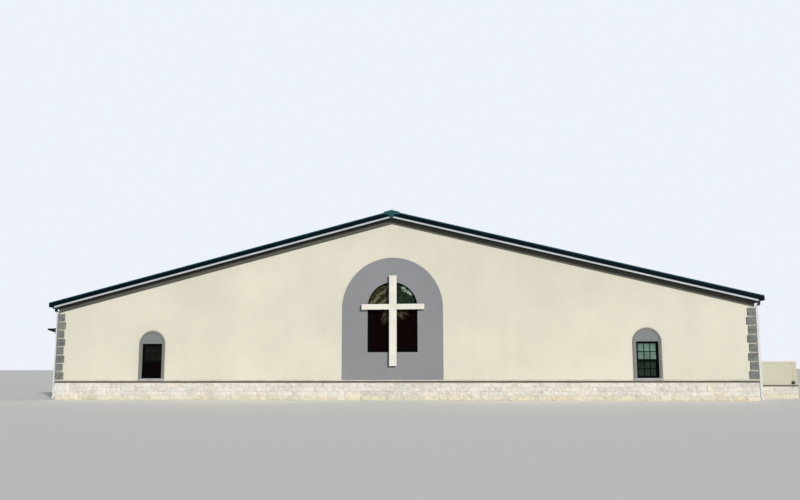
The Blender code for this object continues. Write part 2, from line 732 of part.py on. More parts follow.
def make_roof_edges(side, name):
    """Rake trim, the white board under it, and the frieze on the wall, for one gable."""
    start = ROOF_END + GAP
    y = between(side, start, start + RAKE_TRIM_THICKNESS)
    paint(prism(f"{name}_rake_trim", rake_trim_outline(), "Y", *y), GREEN_METAL)
    ridge = ROOF_RIDGE - RAKE_TRIM_HEIGHT - GAP
    board = chevron(ridge, RAKE_FASCIA_HEIGHT, SLAB_EDGE - RAKE_FASCIA_STOP)
    y = between(side, start, start + RAKE_FASCIA_THICKNESS)
    paint(prism(f"{name}_rake_fascia", board, "Y", *y), WHITE_METAL)
    frieze = chevron(SOFFIT_RIDGE - GAP, FRIEZE_HEIGHT, HALF_WIDTH)
    y = between(side, HALF_LENGTH + GAP, HALF_LENGTH + GAP + FRIEZE_PROUD)
    paint(prism(f"{name}_frieze", frieze, "Y", *y), TAUPE_BOARD)


def gutter_outline(side, inset):
    """The gutter's section, or the trough inside it."""
    return [
        (side * (GUTTER_BACK + inset), GUTTER_BOTTOM + inset),
        (side * (GUTTER_BACK + GUTTER_FOOT - inset / 2), GUTTER_BOTTOM + inset),
        (side * (GUTTER_FRONT - inset), GUTTER_TOP - GUTTER_LIP + inset / 2),
        (side * (GUTTER_FRONT - inset), GUTTER_TOP + inset),
        (side * (GUTTER_BACK + inset), GUTTER_TOP + inset),
    ]


def make_gutter(side, name):
    """Eave gutter, open at the top, between the two rake trims."""
    gutter = prism(f"{name}_gutter", gutter_outline(side, 0), "Y", -ROOF_END, ROOF_END)
    reach = ROOF_END - GUTTER_METAL
    cut(gutter, prism(f"{name}_trough", gutter_outline(side, GUTTER_METAL), "Y", -reach, reach))
    paint(gutter, GREEN_METAL)


def make_downspout(side, end, name):
    """Rectangular pipe from the gutter, back to the corner and down to a shoe, on two straps."""
    out = GUTTER_BACK + OUTLET_INSET
    back = HALF_WIDTH + max(LEDGE_PROUD, QUOIN_PROUD) + DOWNSPOUT_STANDOFF
    top = GUTTER_BOTTOM - GAP
    bend = top - ELBOW_TOP_DROP
    foot = bend - ELBOW_RUN_DROP
    slant = DOWNSPOUT_DEPTH * 0.4
    outline = [
        (out, top),
        (out, bend + slant / 2),
        (back, foot + slant / 2),
        (back, SHOE_HEIGHT - slant),
        (back + SHOE_REACH, SHOE_LIFT - slant),
        (back + DOWNSPOUT_DEPTH + SHOE_REACH / 2, SHOE_LIFT + slant),
        (back + DOWNSPOUT_DEPTH, SHOE_HEIGHT),
        (back + DOWNSPOUT_DEPTH, foot - slant / 2),
        (out + DOWNSPOUT_DEPTH, bend - slant / 2),
        (out + DOWNSPOUT_DEPTH, top),
    ]
    near = HALF_LENGTH - DOWNSPOUT_SETBACK
    y = between(end, near - DOWNSPOUT_WIDTH, near)
    pipe = prism(name, [(side * x, z) for x, z in outline], "Y", *y)
    middle = near - DOWNSPOUT_WIDTH / 2
    x = between(side, HALF_WIDTH + QUOIN_PROUD + GAP, back + DOWNSPOUT_DEPTH / 2)
    y = between(end, middle - STRAP_WIDTH / 2, middle + STRAP_WIDTH / 2)
    for course in (STRAP_COURSE, QUOIN_COUNT - 1 - STRAP_COURSE):
        low = LEDGE_TOP + (course + 1) * QUOIN_PITCH - (QUOIN_PITCH - QUOIN_JOINT + STRAP_HEIGHT) / 2
        add(pipe, box(f"{name}_strap_{course}", x, y, (low, low + STRAP_HEIGHT)))
    paint(pipe, WHITE_METAL)


def quoin_corners(side, end, across, along, proud):
    """The L that one course of a quoin makes in plan."""
    corners = [
        (-proud, -proud),
        (across, -proud),
        (across, -GAP),
        (-GAP, -GAP),
        (-GAP, along),
        (-proud, along),
    ]
    return [(side * (HALF_WIDTH - u), end * (HALF_LENGTH - v)) for u, v in corners]


def make_quoin(side, end, name):
    """Corner blocks up to the frieze, narrow and wide by turns, joined by recessed joints."""
    levels = []
    bottom = LEDGE_TOP + GAP
    for number in range(QUOIN_COUNT):
        low = bottom + number * QUOIN_PITCH
        face = low + QUOIN_JOINT
        joint = quoin_corners(side, end, QUOIN_JOINT_WIDTH, QUOIN_JOINT_WIDTH, QUOIN_JOINT_PROUD)
        widths = (QUOIN_WIDE, QUOIN_NARROW) if number % 2 == 0 else (QUOIN_NARROW, QUOIN_WIDE)
        levels.append((low, face, joint))
        levels.append((face, low + QUOIN_PITCH, quoin_corners(side, end, *widths, QUOIN_PROUD)))
    paint(stacked_solid(name, levels), GREY_STUCCO)


def make_floodlight():
    """Floodlight on an arm from the left wall."""
    y = -HALF_LENGTH + LIGHT_SETBACK
    wall = HALF_WIDTH + GAP
    half = LIGHT_PLATE_SIZE / 2
    plate = box(
        "floodlight",
        between(LEFT, wall, wall + LIGHT_PLATE_THICKNESS),
        (y - half, y + half),
        (LIGHT_PLATE_HEIGHT - half, LIGHT_PLATE_HEIGHT + half),
    )
    half = LIGHT_ARM_SIZE / 2
    elbow = wall + LIGHT_ARM_LENGTH
    low = LIGHT_PLATE_HEIGHT - half
    top = low + LIGHT_STEM_HEIGHT
    arm = [
        (wall + LIGHT_PLATE_THICKNESS / 2, low),
        (elbow, low),
        (elbow, top + half),
        (elbow - LIGHT_ARM_SIZE, top + half),
        (elbow - LIGHT_ARM_SIZE, low + LIGHT_ARM_SIZE),
        (wall + LIGHT_PLATE_THICKNESS / 2, low + LIGHT_ARM_SIZE),
    ]
    add(plate, prism("floodlight_arm", [(-x, z) for x, z in arm], "Y", y - half, y + half))
    inner = elbow - LIGHT_ARM_SIZE * 1.5
    head = [
        (inner, top),
        (inner + LIGHT_HEAD_LENGTH / 4, top),
        (inner + LIGHT_HEAD_LENGTH, top + LIGHT_HEAD_HEIGHT - LIGHT_HEAD_TIP),
        (inner + LIGHT_HEAD_LENGTH, top + LIGHT_HEAD_HEIGHT),
        (inner, top + LIGHT_HEAD_HEIGHT),
    ]
    half = LIGHT_HEAD_WIDTH / 2
    add(plate, prism("floodlight_head", [(-x, z) for x, z in head], "Y", y - half, y + half))
    paint(plate, BLACK_METAL)


def yard_outline(proud):
    """The yard wall's L in plan, widened by a projection."""
    start = HALF_WIDTH + max(LEDGE_PROUD, SURROUND_PROUD) + GAP
    end = start + YARD_REACH
    front = -HALF_LENGTH + YARD_SETBACK
    rear = front + YARD_LENGTH
    return [
        (start, front - proud),
        (end + proud, front - proud),
        (end + proud, rear + proud),
        (end - YARD_THICKNESS - proud, rear + proud),
        (end - YARD_THICKNESS - proud, front + YARD_THICKNESS + proud),
        (start, front + YARD_THICKNESS + proud),
    ]


def make_yard():
    """Low screen wall beside the building, with the same base and ledge."""
    paint(prism("yard_base", yard_outline(BASE_PROUD), "Z", 0, YARD_BASE_HEIGHT), STONE)
    ledge_bottom = YARD_BASE_HEIGHT + GAP
    ledge_top = YARD_BASE_HEIGHT + YARD_LEDGE_HEIGHT
    paint(prism("yard_ledge", yard_outline(LEDGE_PROUD), "Z", ledge_bottom, ledge_top), LEDGE)
    wall = prism("yard_wall", yard_outline(0), "Z", ledge_top + GAP, YARD_HEIGHT - YARD_CAP_HEIGHT / 2)
    cap = yard_outline(YARD_CAP_PROUD)
    add(wall, prism("yard_cap", cap, "Z", YARD_HEIGHT - YARD_CAP_HEIGHT, YARD_HEIGHT))
    paint(wall, STUCCO)


def main():
    clear_scene()
    make_floor()
    make_bases()
    make_ledge()
    make_front_wall()
    make_rear_wall()
    make_arch_panel()
    make_centre_window()
    make_cross()
    make_entrance()
    make_roof()
    make_ridge_cap()
    make_floodlight()
    make_yard()
    for end, gable in ((FRONT, "front"), (REAR, "rear")):
        make_roof_edges(end, gable)
    for side, name in ((LEFT, "left"), (RIGHT, "right")):
        make_side_wall(side, name)
        make_side_glass(side, name)
        make_surround(side, name)
        make_front_window(side, name)
        make_rear_window(side, name)
        make_gutter(side, name)
        for end, gable in ((FRONT, "front"), (REAR, "rear")):
            make_downspout(side, end, f"{gable}_{name}_downspout")
            make_quoin(side, end, f"{gable}_{name}_quoins")


main()
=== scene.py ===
"""Looks of the church hall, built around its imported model.

Lengths are in metres. The front gable faces -Y, the ridge runs along Y and the ground is at z = 0.
"""

import random
from math import cos, pi, radians, sin

import bpy
from mathutils import Matrix, Vector


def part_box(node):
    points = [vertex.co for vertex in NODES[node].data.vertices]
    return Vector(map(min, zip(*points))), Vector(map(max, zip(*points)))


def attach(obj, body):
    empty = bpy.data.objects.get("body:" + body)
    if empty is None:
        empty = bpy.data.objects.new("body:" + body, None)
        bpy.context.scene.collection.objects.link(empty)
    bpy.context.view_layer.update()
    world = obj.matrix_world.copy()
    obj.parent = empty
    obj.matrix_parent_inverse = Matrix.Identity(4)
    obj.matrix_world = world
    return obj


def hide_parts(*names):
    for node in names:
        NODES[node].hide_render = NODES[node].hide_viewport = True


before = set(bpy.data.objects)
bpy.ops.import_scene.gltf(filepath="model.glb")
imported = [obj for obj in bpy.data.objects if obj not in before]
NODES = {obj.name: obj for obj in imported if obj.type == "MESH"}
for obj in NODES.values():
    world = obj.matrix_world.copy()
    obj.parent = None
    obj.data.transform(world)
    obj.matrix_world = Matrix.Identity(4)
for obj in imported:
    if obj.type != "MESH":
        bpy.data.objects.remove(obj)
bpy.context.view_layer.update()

bl_info = {
    "name": "Church hall",
    "version": (1, 0, 0),
    "blender": (4, 5, 0),
    "location": "3D View > Sidebar > Church hall",
    "description": "Dresses the church hall's model with stones, ribs, sashes and finishes",
    "category": "Object",
}

# Main places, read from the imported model
WALL_LOW, WALL_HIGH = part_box("front_wall")
HALF_WIDTH = WALL_HIGH.x
HALF_LENGTH = -WALL_LOW.y
BASE_LOW, BASE_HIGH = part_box("front_base")
LEDGE_LOW, LEDGE_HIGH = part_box("stone_ledge")
ROOF_LOW, ROOF_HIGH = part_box("roof_right")
GUTTER_LOW, GUTTER_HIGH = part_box("right_gutter")

# Roof
PITCH = 0.25
CAP_HALF_WIDTH = 0.345
SOFFIT_RIDGE = 7.915
ROOF_SHINE = 0.2

# Small windows
WINDOW_OFFSET = 10.80
WINDOW_HALF = 0.46
WINDOW_SILL = 0.952
WINDOW_TOP = 2.479
WINDOW_RECESS = 0.015
RAIL_LEVEL = (WINDOW_SILL + WINDOW_TOP) / 2 - 0.03
SURROUND_HALF = 0.59
SURROUND_SPRING = 2.466
SIDE_WINDOWS = 4
SIDE_WINDOW_CORNER = 4.44

# Centre window
CENTRE_HALF = 1.10
CENTRE_SILL = 2.063
CENTRE_SPRING = 4.011
CENTRE_FRAME = 0.05
CENTRE_BAR_HALF = 0.04

# Quoins
QUOIN_COUNT = 8
QUOIN_PITCH = 0.374
QUOIN_JOINT = 0.07
QUOIN_NARROW = 0.285
QUOIN_WIDE = 0.34
QUOIN_PROUD = 0.045

# Downspouts
PIPE_BACK = HALF_WIDTH + QUOIN_PROUD + 0.045
PIPE_DEPTH = 0.10
ELBOW_FOOT = 3.87
# The elbows are dark above this level and the pipes white below it
ELBOW_DARK_EDGE = 3.955
STRAP_HEIGHT = 0.05
STRAP_COURSES = (1, 6)

# Doorway in the rear gable
DOORWAY_HALF = 0.968
DOOR_FLOOR = 0.15

# Screen wall of the yard
YARD_CAP_HEIGHT = 0.07
YARD_CAP_PROUD = 0.03
YARD_THICKNESS = 0.20

# How far a piece of the scene covers the solid that it dresses
COVER = 0.004

WHITE = (1.0, 1.0, 1.0)


def as_light(colour):
    """A colour as seen, in linear light with full alpha."""
    return (*((c / 12.92) if c <= 0.04045 else ((c + 0.055) / 1.055) ** 2.4 for c in colour), 1.0)


def shade(colour, factor):
    """A colour made lighter or darker."""
    return tuple(min(1.0, c * factor) for c in colour)


# Finishes


class Finish:
    """A material in the making, with the patterns that feed its shader."""

    def __init__(self, name, colour, roughness, metallic=0.0, shine=0.5):
        self.material = bpy.data.materials.new(name)
        self.material.use_nodes = True
        self.tree = self.material.node_tree
        self.shader = self.tree.nodes["Principled BSDF"]
        self.place = self.tree.nodes.new("ShaderNodeTexCoord").outputs["Object"]
        self.feed("Base Color", as_light(colour))
        self.feed("Roughness", roughness)
        self.feed("Metallic", metallic)
        self.feed("Specular IOR Level", shine)

    def connect(self, socket, value):
        """Link a pattern to a socket, or set the socket to a plain value."""
        if isinstance(value, bpy.types.NodeSocket):
            self.tree.links.new(value, socket)
        else:
            socket.default_value = value

    def feed(self, socket, value):
        """Give one of the shader's sockets a pattern or a plain value."""
        self.connect(self.shader.inputs[socket], value)

    def coat(self, colours):
        """Give the surface its colours."""
        self.feed("Base Color", colours)

    def node(self, kind, settings=None, **inputs):
        """Add a node, with its settings and its inputs."""
        made = self.tree.nodes.new(kind)
        for name, value in (settings or {}).items():
            setattr(made, name, value)
        for name, value in inputs.items():
            self.connect(made.inputs[name.replace("_", " ")], value)
        return made

    def stretched(self, scale, location=(0, 0, 0)):
        """Object coordinates, stretched and moved."""
        return self.node("ShaderNodeMapping", Vector=self.place, Scale=scale, Location=location).outputs[0]

    def axis(self, name):
        """One axis of the object's coordinates."""
        return self.node("ShaderNodeSeparateXYZ", Vector=self.place).outputs[name]

    def noise(self, scale, detail=4.0, rough=0.55, place=None):
        """Cloudy noise with a number of features a metre."""
        place = place or self.place
        made = self.node("ShaderNodeTexNoise", Vector=place, Scale=scale, Detail=detail, Roughness=rough)
        return made.outputs["Fac"]

    def bands(self, direction, scale):
        """Even waves along an axis."""
        wave = {"wave_type": "BANDS", "bands_direction": direction, "wave_profile": "SIN"}
        return self.node("ShaderNodeTexWave", wave, Vector=self.place, Scale=scale).outputs["Fac"]

    def math(self, operation, *values):
        """Reckon with patterns and numbers."""
        made = self.node("ShaderNodeMath", {"operation": operation})
        for socket, value in zip(made.inputs, values):
            self.connect(socket, value)
        return made.outputs[0]

    def sum(self, first, second, share=0.5):
        """First pattern plus a share of the second."""
        return self.math("ADD", first, self.math("MULTIPLY", second, share))

    def range(self, factor, low, high, out_low=0.0, out_high=1.0):
        """Map a factor's range to another, clamped."""
        span = {"From Min": low, "From Max": high, "To Min": out_low, "To Max": out_high}
        return self.node("ShaderNodeMapRange", Value=factor, **span).outputs["Result"]

    def ramp(self, factor, *stops):
        """Colours along a factor, each stop a place and a colour as seen."""
        made = self.node("ShaderNodeValToRGB", Fac=factor)
        elements = made.color_ramp.elements
        while len(elements) < len(stops):
            elements.new(0.5)
        for element, (position, colour) in zip(elements, stops):
            element.position = position
            element.color = as_light(colour)
        return made.outputs["Color"]

    def clouded(self, clouds, colour, low, high):
        """A colour that clouds darken and lighten."""
        return self.ramp(clouds, (0.3, shade(colour, low)), (0.7, shade(colour, high)))

    def blend(self, factor, first, second, kind="MIX"):
        """Mix two colours by a factor."""
        made = self.node("ShaderNodeMix", {"data_type": "RGBA", "blend_type": kind})
        for name, value in (("Factor", factor), ("A", first), ("B", second)):
            self.connect(next(s for s in made.inputs if s.name == name and s.enabled), value)
        return next(s for s in made.outputs if s.enabled)

    def veiled(self, colours, veil):
        """Colours multiplied by a veil."""
        return self.blend(1.0, colours, veil, "MULTIPLY")

    def roughen(self, clouds, low, high):
        """Gloss that follows the clouds."""
        self.feed("Roughness", self.range(clouds, 0.3, 0.7, low, high))

    def bump(self, height, distance, strength):
        """Raise the surface by a pattern, up to a distance."""
        made = self.node("ShaderNodeBump", Height=height, Distance=distance, Strength=strength)
        self.feed("Normal", made.outputs["Normal"])


def render_finish(name, colour, contrast=0.025):
    """Sanded mineral render, faintly clouded and streaked by rain."""
    finish = Finish(name, colour, 0.92)
    clouds = finish.noise(0.35, 5.0)
    streaks = finish.noise(1.0, place=finish.stretched((1.6, 1.6, 0.12)))
    tone = finish.range(finish.sum(clouds, streaks, 0.25), 0.45, 0.80)
    tint = finish.ramp(tone, (0.0, shade(colour, 1 - contrast)), (1.0, shade(colour, 1 + contrast)))
    grains = finish.noise(45.0, 3.0)
    grain_tint = finish.ramp(grains, (0.35, shade(WHITE, 0.93)), (0.65, WHITE))
    finish.coat(finish.veiled(tint, grain_tint))
    finish.roughen(clouds, 0.86, 0.97)
    finish.bump(finish.sum(finish.noise(160.0, 3.0), grains, 0.8), 0.0025, 0.5)
    return finish.material


def stone_finish(name, colour):
    """Chopped pale stone: each stone's own tone from its mesh, clouded, and warmed near the ground with
    painted light thrown up from the sunlit ground.
    """
    finish = Finish(name, colour, 0.9)
    tone = finish.node("ShaderNodeAttribute", {"attribute_name": "tone"}).outputs["Fac"]
    own = finish.ramp(
        tone,
        (0.0, shade(colour, 0.94)),
        (0.4, shade(colour, 0.98)),
        (0.75, colour),
        (1.0, (colour[0], colour[1] * 0.985, colour[2] * 0.95)),
    )
    # The clouds darken the stones partly as random tone and partly as painted shade of their chipped faces
    clouds = finish.sum(finish.noise(7.0, 6.0), finish.noise(1.8, 3.0), 0.8)
    veil = finish.ramp(clouds, (0.68, (0.90, 0.89, 0.87)), (0.98, WHITE))
    # Painted light: a warm glow from the sunlit ground, strongest on the lowest stones
    height = finish.sum(finish.axis("Z"), finish.noise(2.0, 3.0), 0.25)
    ground_glow = finish.ramp(height, (0.14, (0.98, 0.96, 0.87)), (0.4, WHITE))
    finish.coat(finish.veiled(finish.veiled(own, veil), ground_glow))
    finish.feed("Roughness", finish.range(clouds, 0.7, 1.1, 0.8, 0.98))
    finish.bump(finish.sum(clouds, finish.noise(60.0, 5.0), 0.4), 0.006, 0.7)
    return finish.material


def mortar_finish(name, colour):
    """Struck sandy mortar."""
    finish = Finish(name, colour, 0.95)
    finish.coat(finish.clouded(finish.noise(3.0), colour, 0.9, 1.04))
    finish.bump(finish.noise(140.0, 3.0), 0.003, 0.7)
    return finish.material


def cast_stone_finish(name, colour, contrast=0.07):
    """Cast stone with fine air holes, the holes painted darker for the shade in them."""
    finish = Finish(name, colour, 0.85)
    clouds = finish.noise(2.2, 5.0)
    tint = finish.clouded(clouds, colour, 1 - contrast, 1 + contrast)
    cells = finish.node("ShaderNodeTexVoronoi", Vector=finish.place, Scale=90.0)
    holes = finish.range(cells.outputs["Distance"], 0.0, 0.25)
    # Painted shade: the air holes are darkened
    hole_shade = finish.ramp(holes, (0.0, shade(WHITE, 0.7)), (1.0, WHITE))
    finish.coat(finish.veiled(tint, hole_shade))
    finish.roughen(clouds, 0.75, 0.92)
    finish.bump(finish.sum(holes, finish.noise(70.0), 0.6), 0.002, 0.7)
    return finish.material


def painted_finish(name, colour, roughness, dirt=0.1, shine=0.5, metallic=0.0, ripple=0.6):
    """Painted sheet: a faint waviness, dust in the film and slightly uneven gloss."""
    finish = Finish(name, colour, roughness, metallic, shine)
    film = finish.noise(1.3, 5.0)
    finish.coat(finish.clouded(film, colour, 1 - dirt, 1 + dirt))
    finish.roughen(film, roughness - 0.06, roughness + 0.1)
    finish.bump(finish.sum(finish.noise(ripple, 2.0), finish.noise(220.0, 2.0), 0.02), 0.01, 0.35)
    return finish.material


# Modelling

MIRROR_X = Matrix.Diagonal((-1, 1, 1, 1))
MIRROR_Y = Matrix.Diagonal((1, -1, 1, 1))


def turned(angle, x=0.0, y=0.0):
    """Turn about Z by degrees, then move."""
    return Matrix.Translation((x, y, 0)) @ Matrix.Rotation(radians(angle), 4, "Z")


def named(piece, name):
    """Name a piece and its mesh."""
    piece.name = name
    piece.data.name = name
    return piece


def deselect():
    """Leave nothing selected."""
    bpy.ops.object.select_all(action="DESELECT")


def take(piece):
    """Make a piece the only one selected, and the active one."""
    deselect()
    piece.select_set(True)
    bpy.context.view_layer.objects.active = piece


def keep_added(name):
    """Name the primitive just added, its place in its mesh."""
    piece = named(bpy.context.object, name)
    bpy.ops.object.transform_apply(location=True, rotation=True, scale=True)
    return piece


def add_block(name, low, high):
    """A block between two corners."""
    low, high = Vector(low), Vector(high)
    deselect()
    bpy.ops.mesh.primitive_cube_add(size=1, location=(low + high) / 2, scale=high - low)
    return keep_added(name)


def add_rod(name, start, end, radius, sides=16):
    """A round bar between two points."""
    start, end = Vector(start), Vector(end)
    run = end - start
    deselect()
    turn = run.to_track_quat("Z", "Y").to_euler()
    bpy.ops.mesh.primitive_cylinder_add(
        vertices=sides, radius=radius, depth=run.length, location=(start + end) / 2, rotation=turn
    )
    return keep_added(name)


def facing(x=0, y=0, z=0):
    """A test for faces that look along a direction."""
    way = Vector((x, y, z)).normalized()
    return lambda face: face.normal.dot(way) > 0.9


def upright_faces(face):
    """A test for faces that look to the front or the rear."""
    return abs(face.normal.y) > 0.9


def everything(part):
    """A test that all faces and points pass."""
    return True


def nose(proud, level):
    """A test for the points above a level along the front of a piece that stands proud."""
    return lambda point: point.y < -proud / 2 and point.z > level


def pick(piece, kind, test):
    """Go into edit mode with only the faces or points that pass a test selected."""
    take(piece)
    bpy.ops.object.mode_set(mode="EDIT")
    bpy.ops.mesh.select_mode(type=kind)
    bpy.ops.mesh.select_all(action="DESELECT")
    bpy.ops.object.mode_set(mode="OBJECT")
    if kind == "FACE":
        for face in piece.data.polygons:
            face.select = test(face)
    else:
        for point in piece.data.vertices:
            point.select = test(point.co)
    bpy.ops.object.mode_set(mode="EDIT")


def leave():
    """Go back to object mode."""
    bpy.ops.object.mode_set(mode="OBJECT")


def shift(piece, kind, test, x=0.0, y=0.0, z=0.0):
    """Move the faces or points that pass a test."""
    pick(piece, kind, test)
    bpy.ops.transform.translate(value=(x, y, z))
    leave()


def pull(piece, test, x=0.0, y=0.0, z=0.0, margin=None):
    """Extrude the faces that pass a test, or what is inside their margin."""
    pick(piece, "FACE", test)
    if margin:
        bpy.ops.mesh.inset(thickness=margin)
    bpy.ops.mesh.extrude_region_move(TRANSFORM_OT_translate={"value": (x, y, z)})
    leave()


def make_angle(name, low, high, across, along):
    """An L-shaped piece: a post pulled along X, and its outer part along Y."""
    piece = add_block(name, low, high)
    pull(piece, facing(x=across), x=across)
    way = 1 if across > 0 else -1
    inner = (high if across > 0 else low)[0]
    pull(piece, lambda face: face.normal.y > 0.9 and way * (face.center.x - inner) < 0, y=along)
    return piece


def weld(piece):
    """Merge doubled points."""
    pick(piece, "VERT", everything)
    bpy.ops.mesh.remove_doubles(threshold=0.0001)
    leave()


def cut(piece, level, **kept):
    """Cut a piece at a level."""
    pick(piece, "VERT", everything)
    bpy.ops.mesh.bisect(plane_co=(0, 0, level), plane_no=(0, 0, 1), **kept)
    leave()


def modify(piece, kind, **settings):
    """Add a modifier and apply it."""
    take(piece)
    modifier = piece.modifiers.new(kind.title(), kind)
    for name, value in settings.items():
        setattr(modifier, name, value)
    bpy.ops.object.modifier_apply(modifier=modifier.name)
    return piece


def soften(piece, width, segments=2, angle=30):
    """Bevel a piece's sharp edges."""
    bevel = {"width": width, "segments": segments, "angle_limit": radians(angle)}
    return modify(piece, "BEVEL", limit_method="ANGLE", **bevel)


def repeat(piece, count, *step):
    """Repeat a piece in a row, a step apart."""
    row = {"use_relative_offset": False, "use_constant_offset": True, "constant_offset_displace": step}
    return modify(piece, "ARRAY", count=count, **row)


def place(piece, matrix):
    """Move a piece's mesh by a matrix, its faces still outwards."""
    piece.data.transform(matrix)
    if matrix.determinant() < 0:
        piece.data.flip_normals()
    return piece


def twin(piece, name, matrix):
    """A copy with its own mesh, moved by a matrix."""
    copied = piece.copy()
    copied.data = piece.data.copy()
    bpy.context.collection.objects.link(copied)
    return place(named(copied, name), matrix)


def merged_copy(node, name):
    """A copy of a node of the model, its doubled points merged."""
    copied = twin(NODES[node], name, Matrix.Identity(4))
    # The copy is a piece of the scene, so it keeps none of the node's own marks
    for key in list(copied.keys()):
        del copied[key]
    copied.parent = None
    copied.data.materials.clear()
    weld(copied)
    pick(copied, "VERT", everything)
    bpy.ops.mesh.dissolve_limited(angle_limit=radians(0.5))
    leave()
    return copied


def join(pieces, name):
    """Join pieces into one."""
    take(pieces[0])
    for piece in pieces:
        piece.select_set(True)
    if len(pieces) > 1:
        bpy.ops.object.join()
    return named(pieces[0], name)


def remove(*patterns):
    """Delete pattern pieces once their copies are made."""
    for pattern in patterns:
        bpy.data.objects.remove(pattern, do_unlink=True)


def ring(name, low, high, width):
    """An upright frame in the XZ plane: a block with both faces inset and bridged."""
    piece = add_block(name, low, high)
    pick(piece, "FACE", upright_faces)
    bpy.ops.mesh.inset(thickness=width)
    bpy.ops.mesh.bridge_edge_loops()
    leave()
    return piece


def arched_bar(name, half_width, bottom, spring, width, depth):
    """A bar that rises, turns over a half circle and comes down again, its back at y = 0."""
    piece = add_block(name, (-half_width, -depth, bottom), (width - half_width, 0, spring))
    pick(piece, "FACE", facing(z=1))
    bpy.ops.mesh.spin(steps=24, angle=-pi, center=(0, 0, spring), axis=(0, 1, 0))
    bpy.ops.mesh.extrude_region_move(TRANSFORM_OT_translate={"value": (0, 0, bottom - spring)})
    leave()
    return piece


def settle(piece, material, slot, *nodes):
    """Give a finished piece its material and tie it to the building."""
    if material is not None:
        piece.data.materials.clear()
        piece.data.materials.append(material)
    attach(piece, "root")
    if nodes:
        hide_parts(*nodes)


def settle_both(piece, other, mirror, material, slot):
    """Tie a piece and its mirrored twin to the building."""
    settle(twin(piece, other, mirror), material, slot)
    settle(piece, material, slot)


def dress(material, *nodes):
    """Put a material on solids of the model that are kept."""
    for node in nodes:
        slots = NODES[node].data.materials
        if len(slots):
            slots[0] = material
        else:
            slots.append(material)


def faces_round(half_width, half_length, corner=0.0):
    """Stretches along each side, round the building and up to the doorway: their starts and lengths."""
    across = half_width + corner
    beside = across - DOORWAY_HALF
    return {
        "front": [(turned(0, -across, -half_length), 2 * across)],
        "right": [(turned(90, half_width, -half_length), 2 * half_length)],
        "rear": [
            (turned(180, across, half_length), beside),
            (turned(180, -DOORWAY_HALF, half_length), beside),
        ],
        "left": [(turned(-90, -half_width, half_length), 2 * half_length)],
    }


# Settings


def length(name, description, default):
    """A setting for a length."""
    return bpy.props.FloatProperty(
        name=name, description=description, default=default, min=0.0, subtype="DISTANCE", unit="LENGTH"
    )


def colour(name, description, default):
    """A setting for a colour as seen."""
    return bpy.props.FloatVectorProperty(
        name=name, description=description, default=default, min=0.0, max=1.0, size=3, subtype="COLOR_GAMMA"
    )


class HallWallSettings(bpy.types.PropertyGroup):
    """Finishes of the walls, base and corners."""

    render_colour: colour("Render", "Cream render of the walls", (0.86, 0.846, 0.784))
    panel_colour: colour("Arched panel", "Grey render of the arched panel", (0.537, 0.548, 0.567))
    surround_colour: colour("Surround", "Render round the small windows", (0.495, 0.512, 0.525))
    rim_colour: colour("Rim", "Moulded rim round the small windows", (0.503, 0.494, 0.475))
    sill_colour: colour("Sill", "Sills of the small windows", (0.655, 0.645, 0.655))
    quoin_colour: colour("Quoins", "Blocks at the corners", (0.432, 0.449, 0.436))
    quoin_joint_colour: colour("Quoin joints", "Recessed joints of the corners", (0.72, 0.71, 0.66))
    stone_colour: colour("Stone", "Pale stone of the base", (0.874, 0.860, 0.838))
    mortar_colour: colour("Mortar", "Joints of the stone base", (0.765, 0.755, 0.73))
    ledge_colour: colour("Ledge", "Dark ledge on the base", (0.365, 0.35, 0.305))
    fillet_colour: colour("Fillet", "Pale fillet between the ledge and the wall", (0.80, 0.785, 0.735))
    floor_colour: colour("Floor", "Concrete floor slab", (0.62, 0.61, 0.58))
    yard_colour: colour("Yard wall", "Cream render of the screen wall", (0.79, 0.78, 0.71))
    coping_colour: colour("Coping", "Painted coping of the screen wall", (0.815, 0.79, 0.76))
    strip_colour: colour("Corner strip", "Strip at the screen wall's corner", (0.79, 0.765, 0.67))
    stone_cell: length("Stone module", "Length that the stones are multiples of", 0.085)
    stone_joint: length("Stone joint", "Joint between stones", 0.014)
    stone_relief: length("Stone relief", "How far a stone stands out of the mortar", 0.017)
    ledge_length: length("Ledge length", "Length of one stone of the ledge", 0.92)


class HallWindowSettings(bpy.types.PropertyGroup):
    """Sizes and finishes of the windows and the entrance."""

    frame_colour: colour("Frames", "Painted frames", (0.01, 0.03, 0.02))
    # The upper bars are lighter than the frames' paint: the painted sky reflection of the upper panes lies
    # over them
    upper_bar_reflection_colour: colour("Upper bars", "Slim bars in the upper sashes", (0.10, 0.15, 0.12))
    lower_bar_colour: colour("Lower bars", "Slim bars in the lower sashes", (0.005, 0.02, 0.012))
    # The upper panes' pale grey-green is a painted reflection of the sky in the glass
    upper_glass_reflection_colour: colour("Upper panes", "Glass of the upper sashes", (0.46, 0.585, 0.52))
    lower_glass_colour: colour("Lower panes", "Glass of the lower sashes", (0.15, 0.20, 0.165))
    dark_glass_colour: colour("Dark panes", "Glass of the front left window", (0.115, 0.108, 0.096))
    rim_width: length("Rim width", "Width of the moulded rim", 0.09)
    rim_depth: length("Rim depth", "How far the rim stands out of the wall", 0.055)
    sash_width: length("Sash width", "Width of a sash's frame", 0.042)
    bar_width: length("Bar width", "Width of a glazing bar", 0.038)


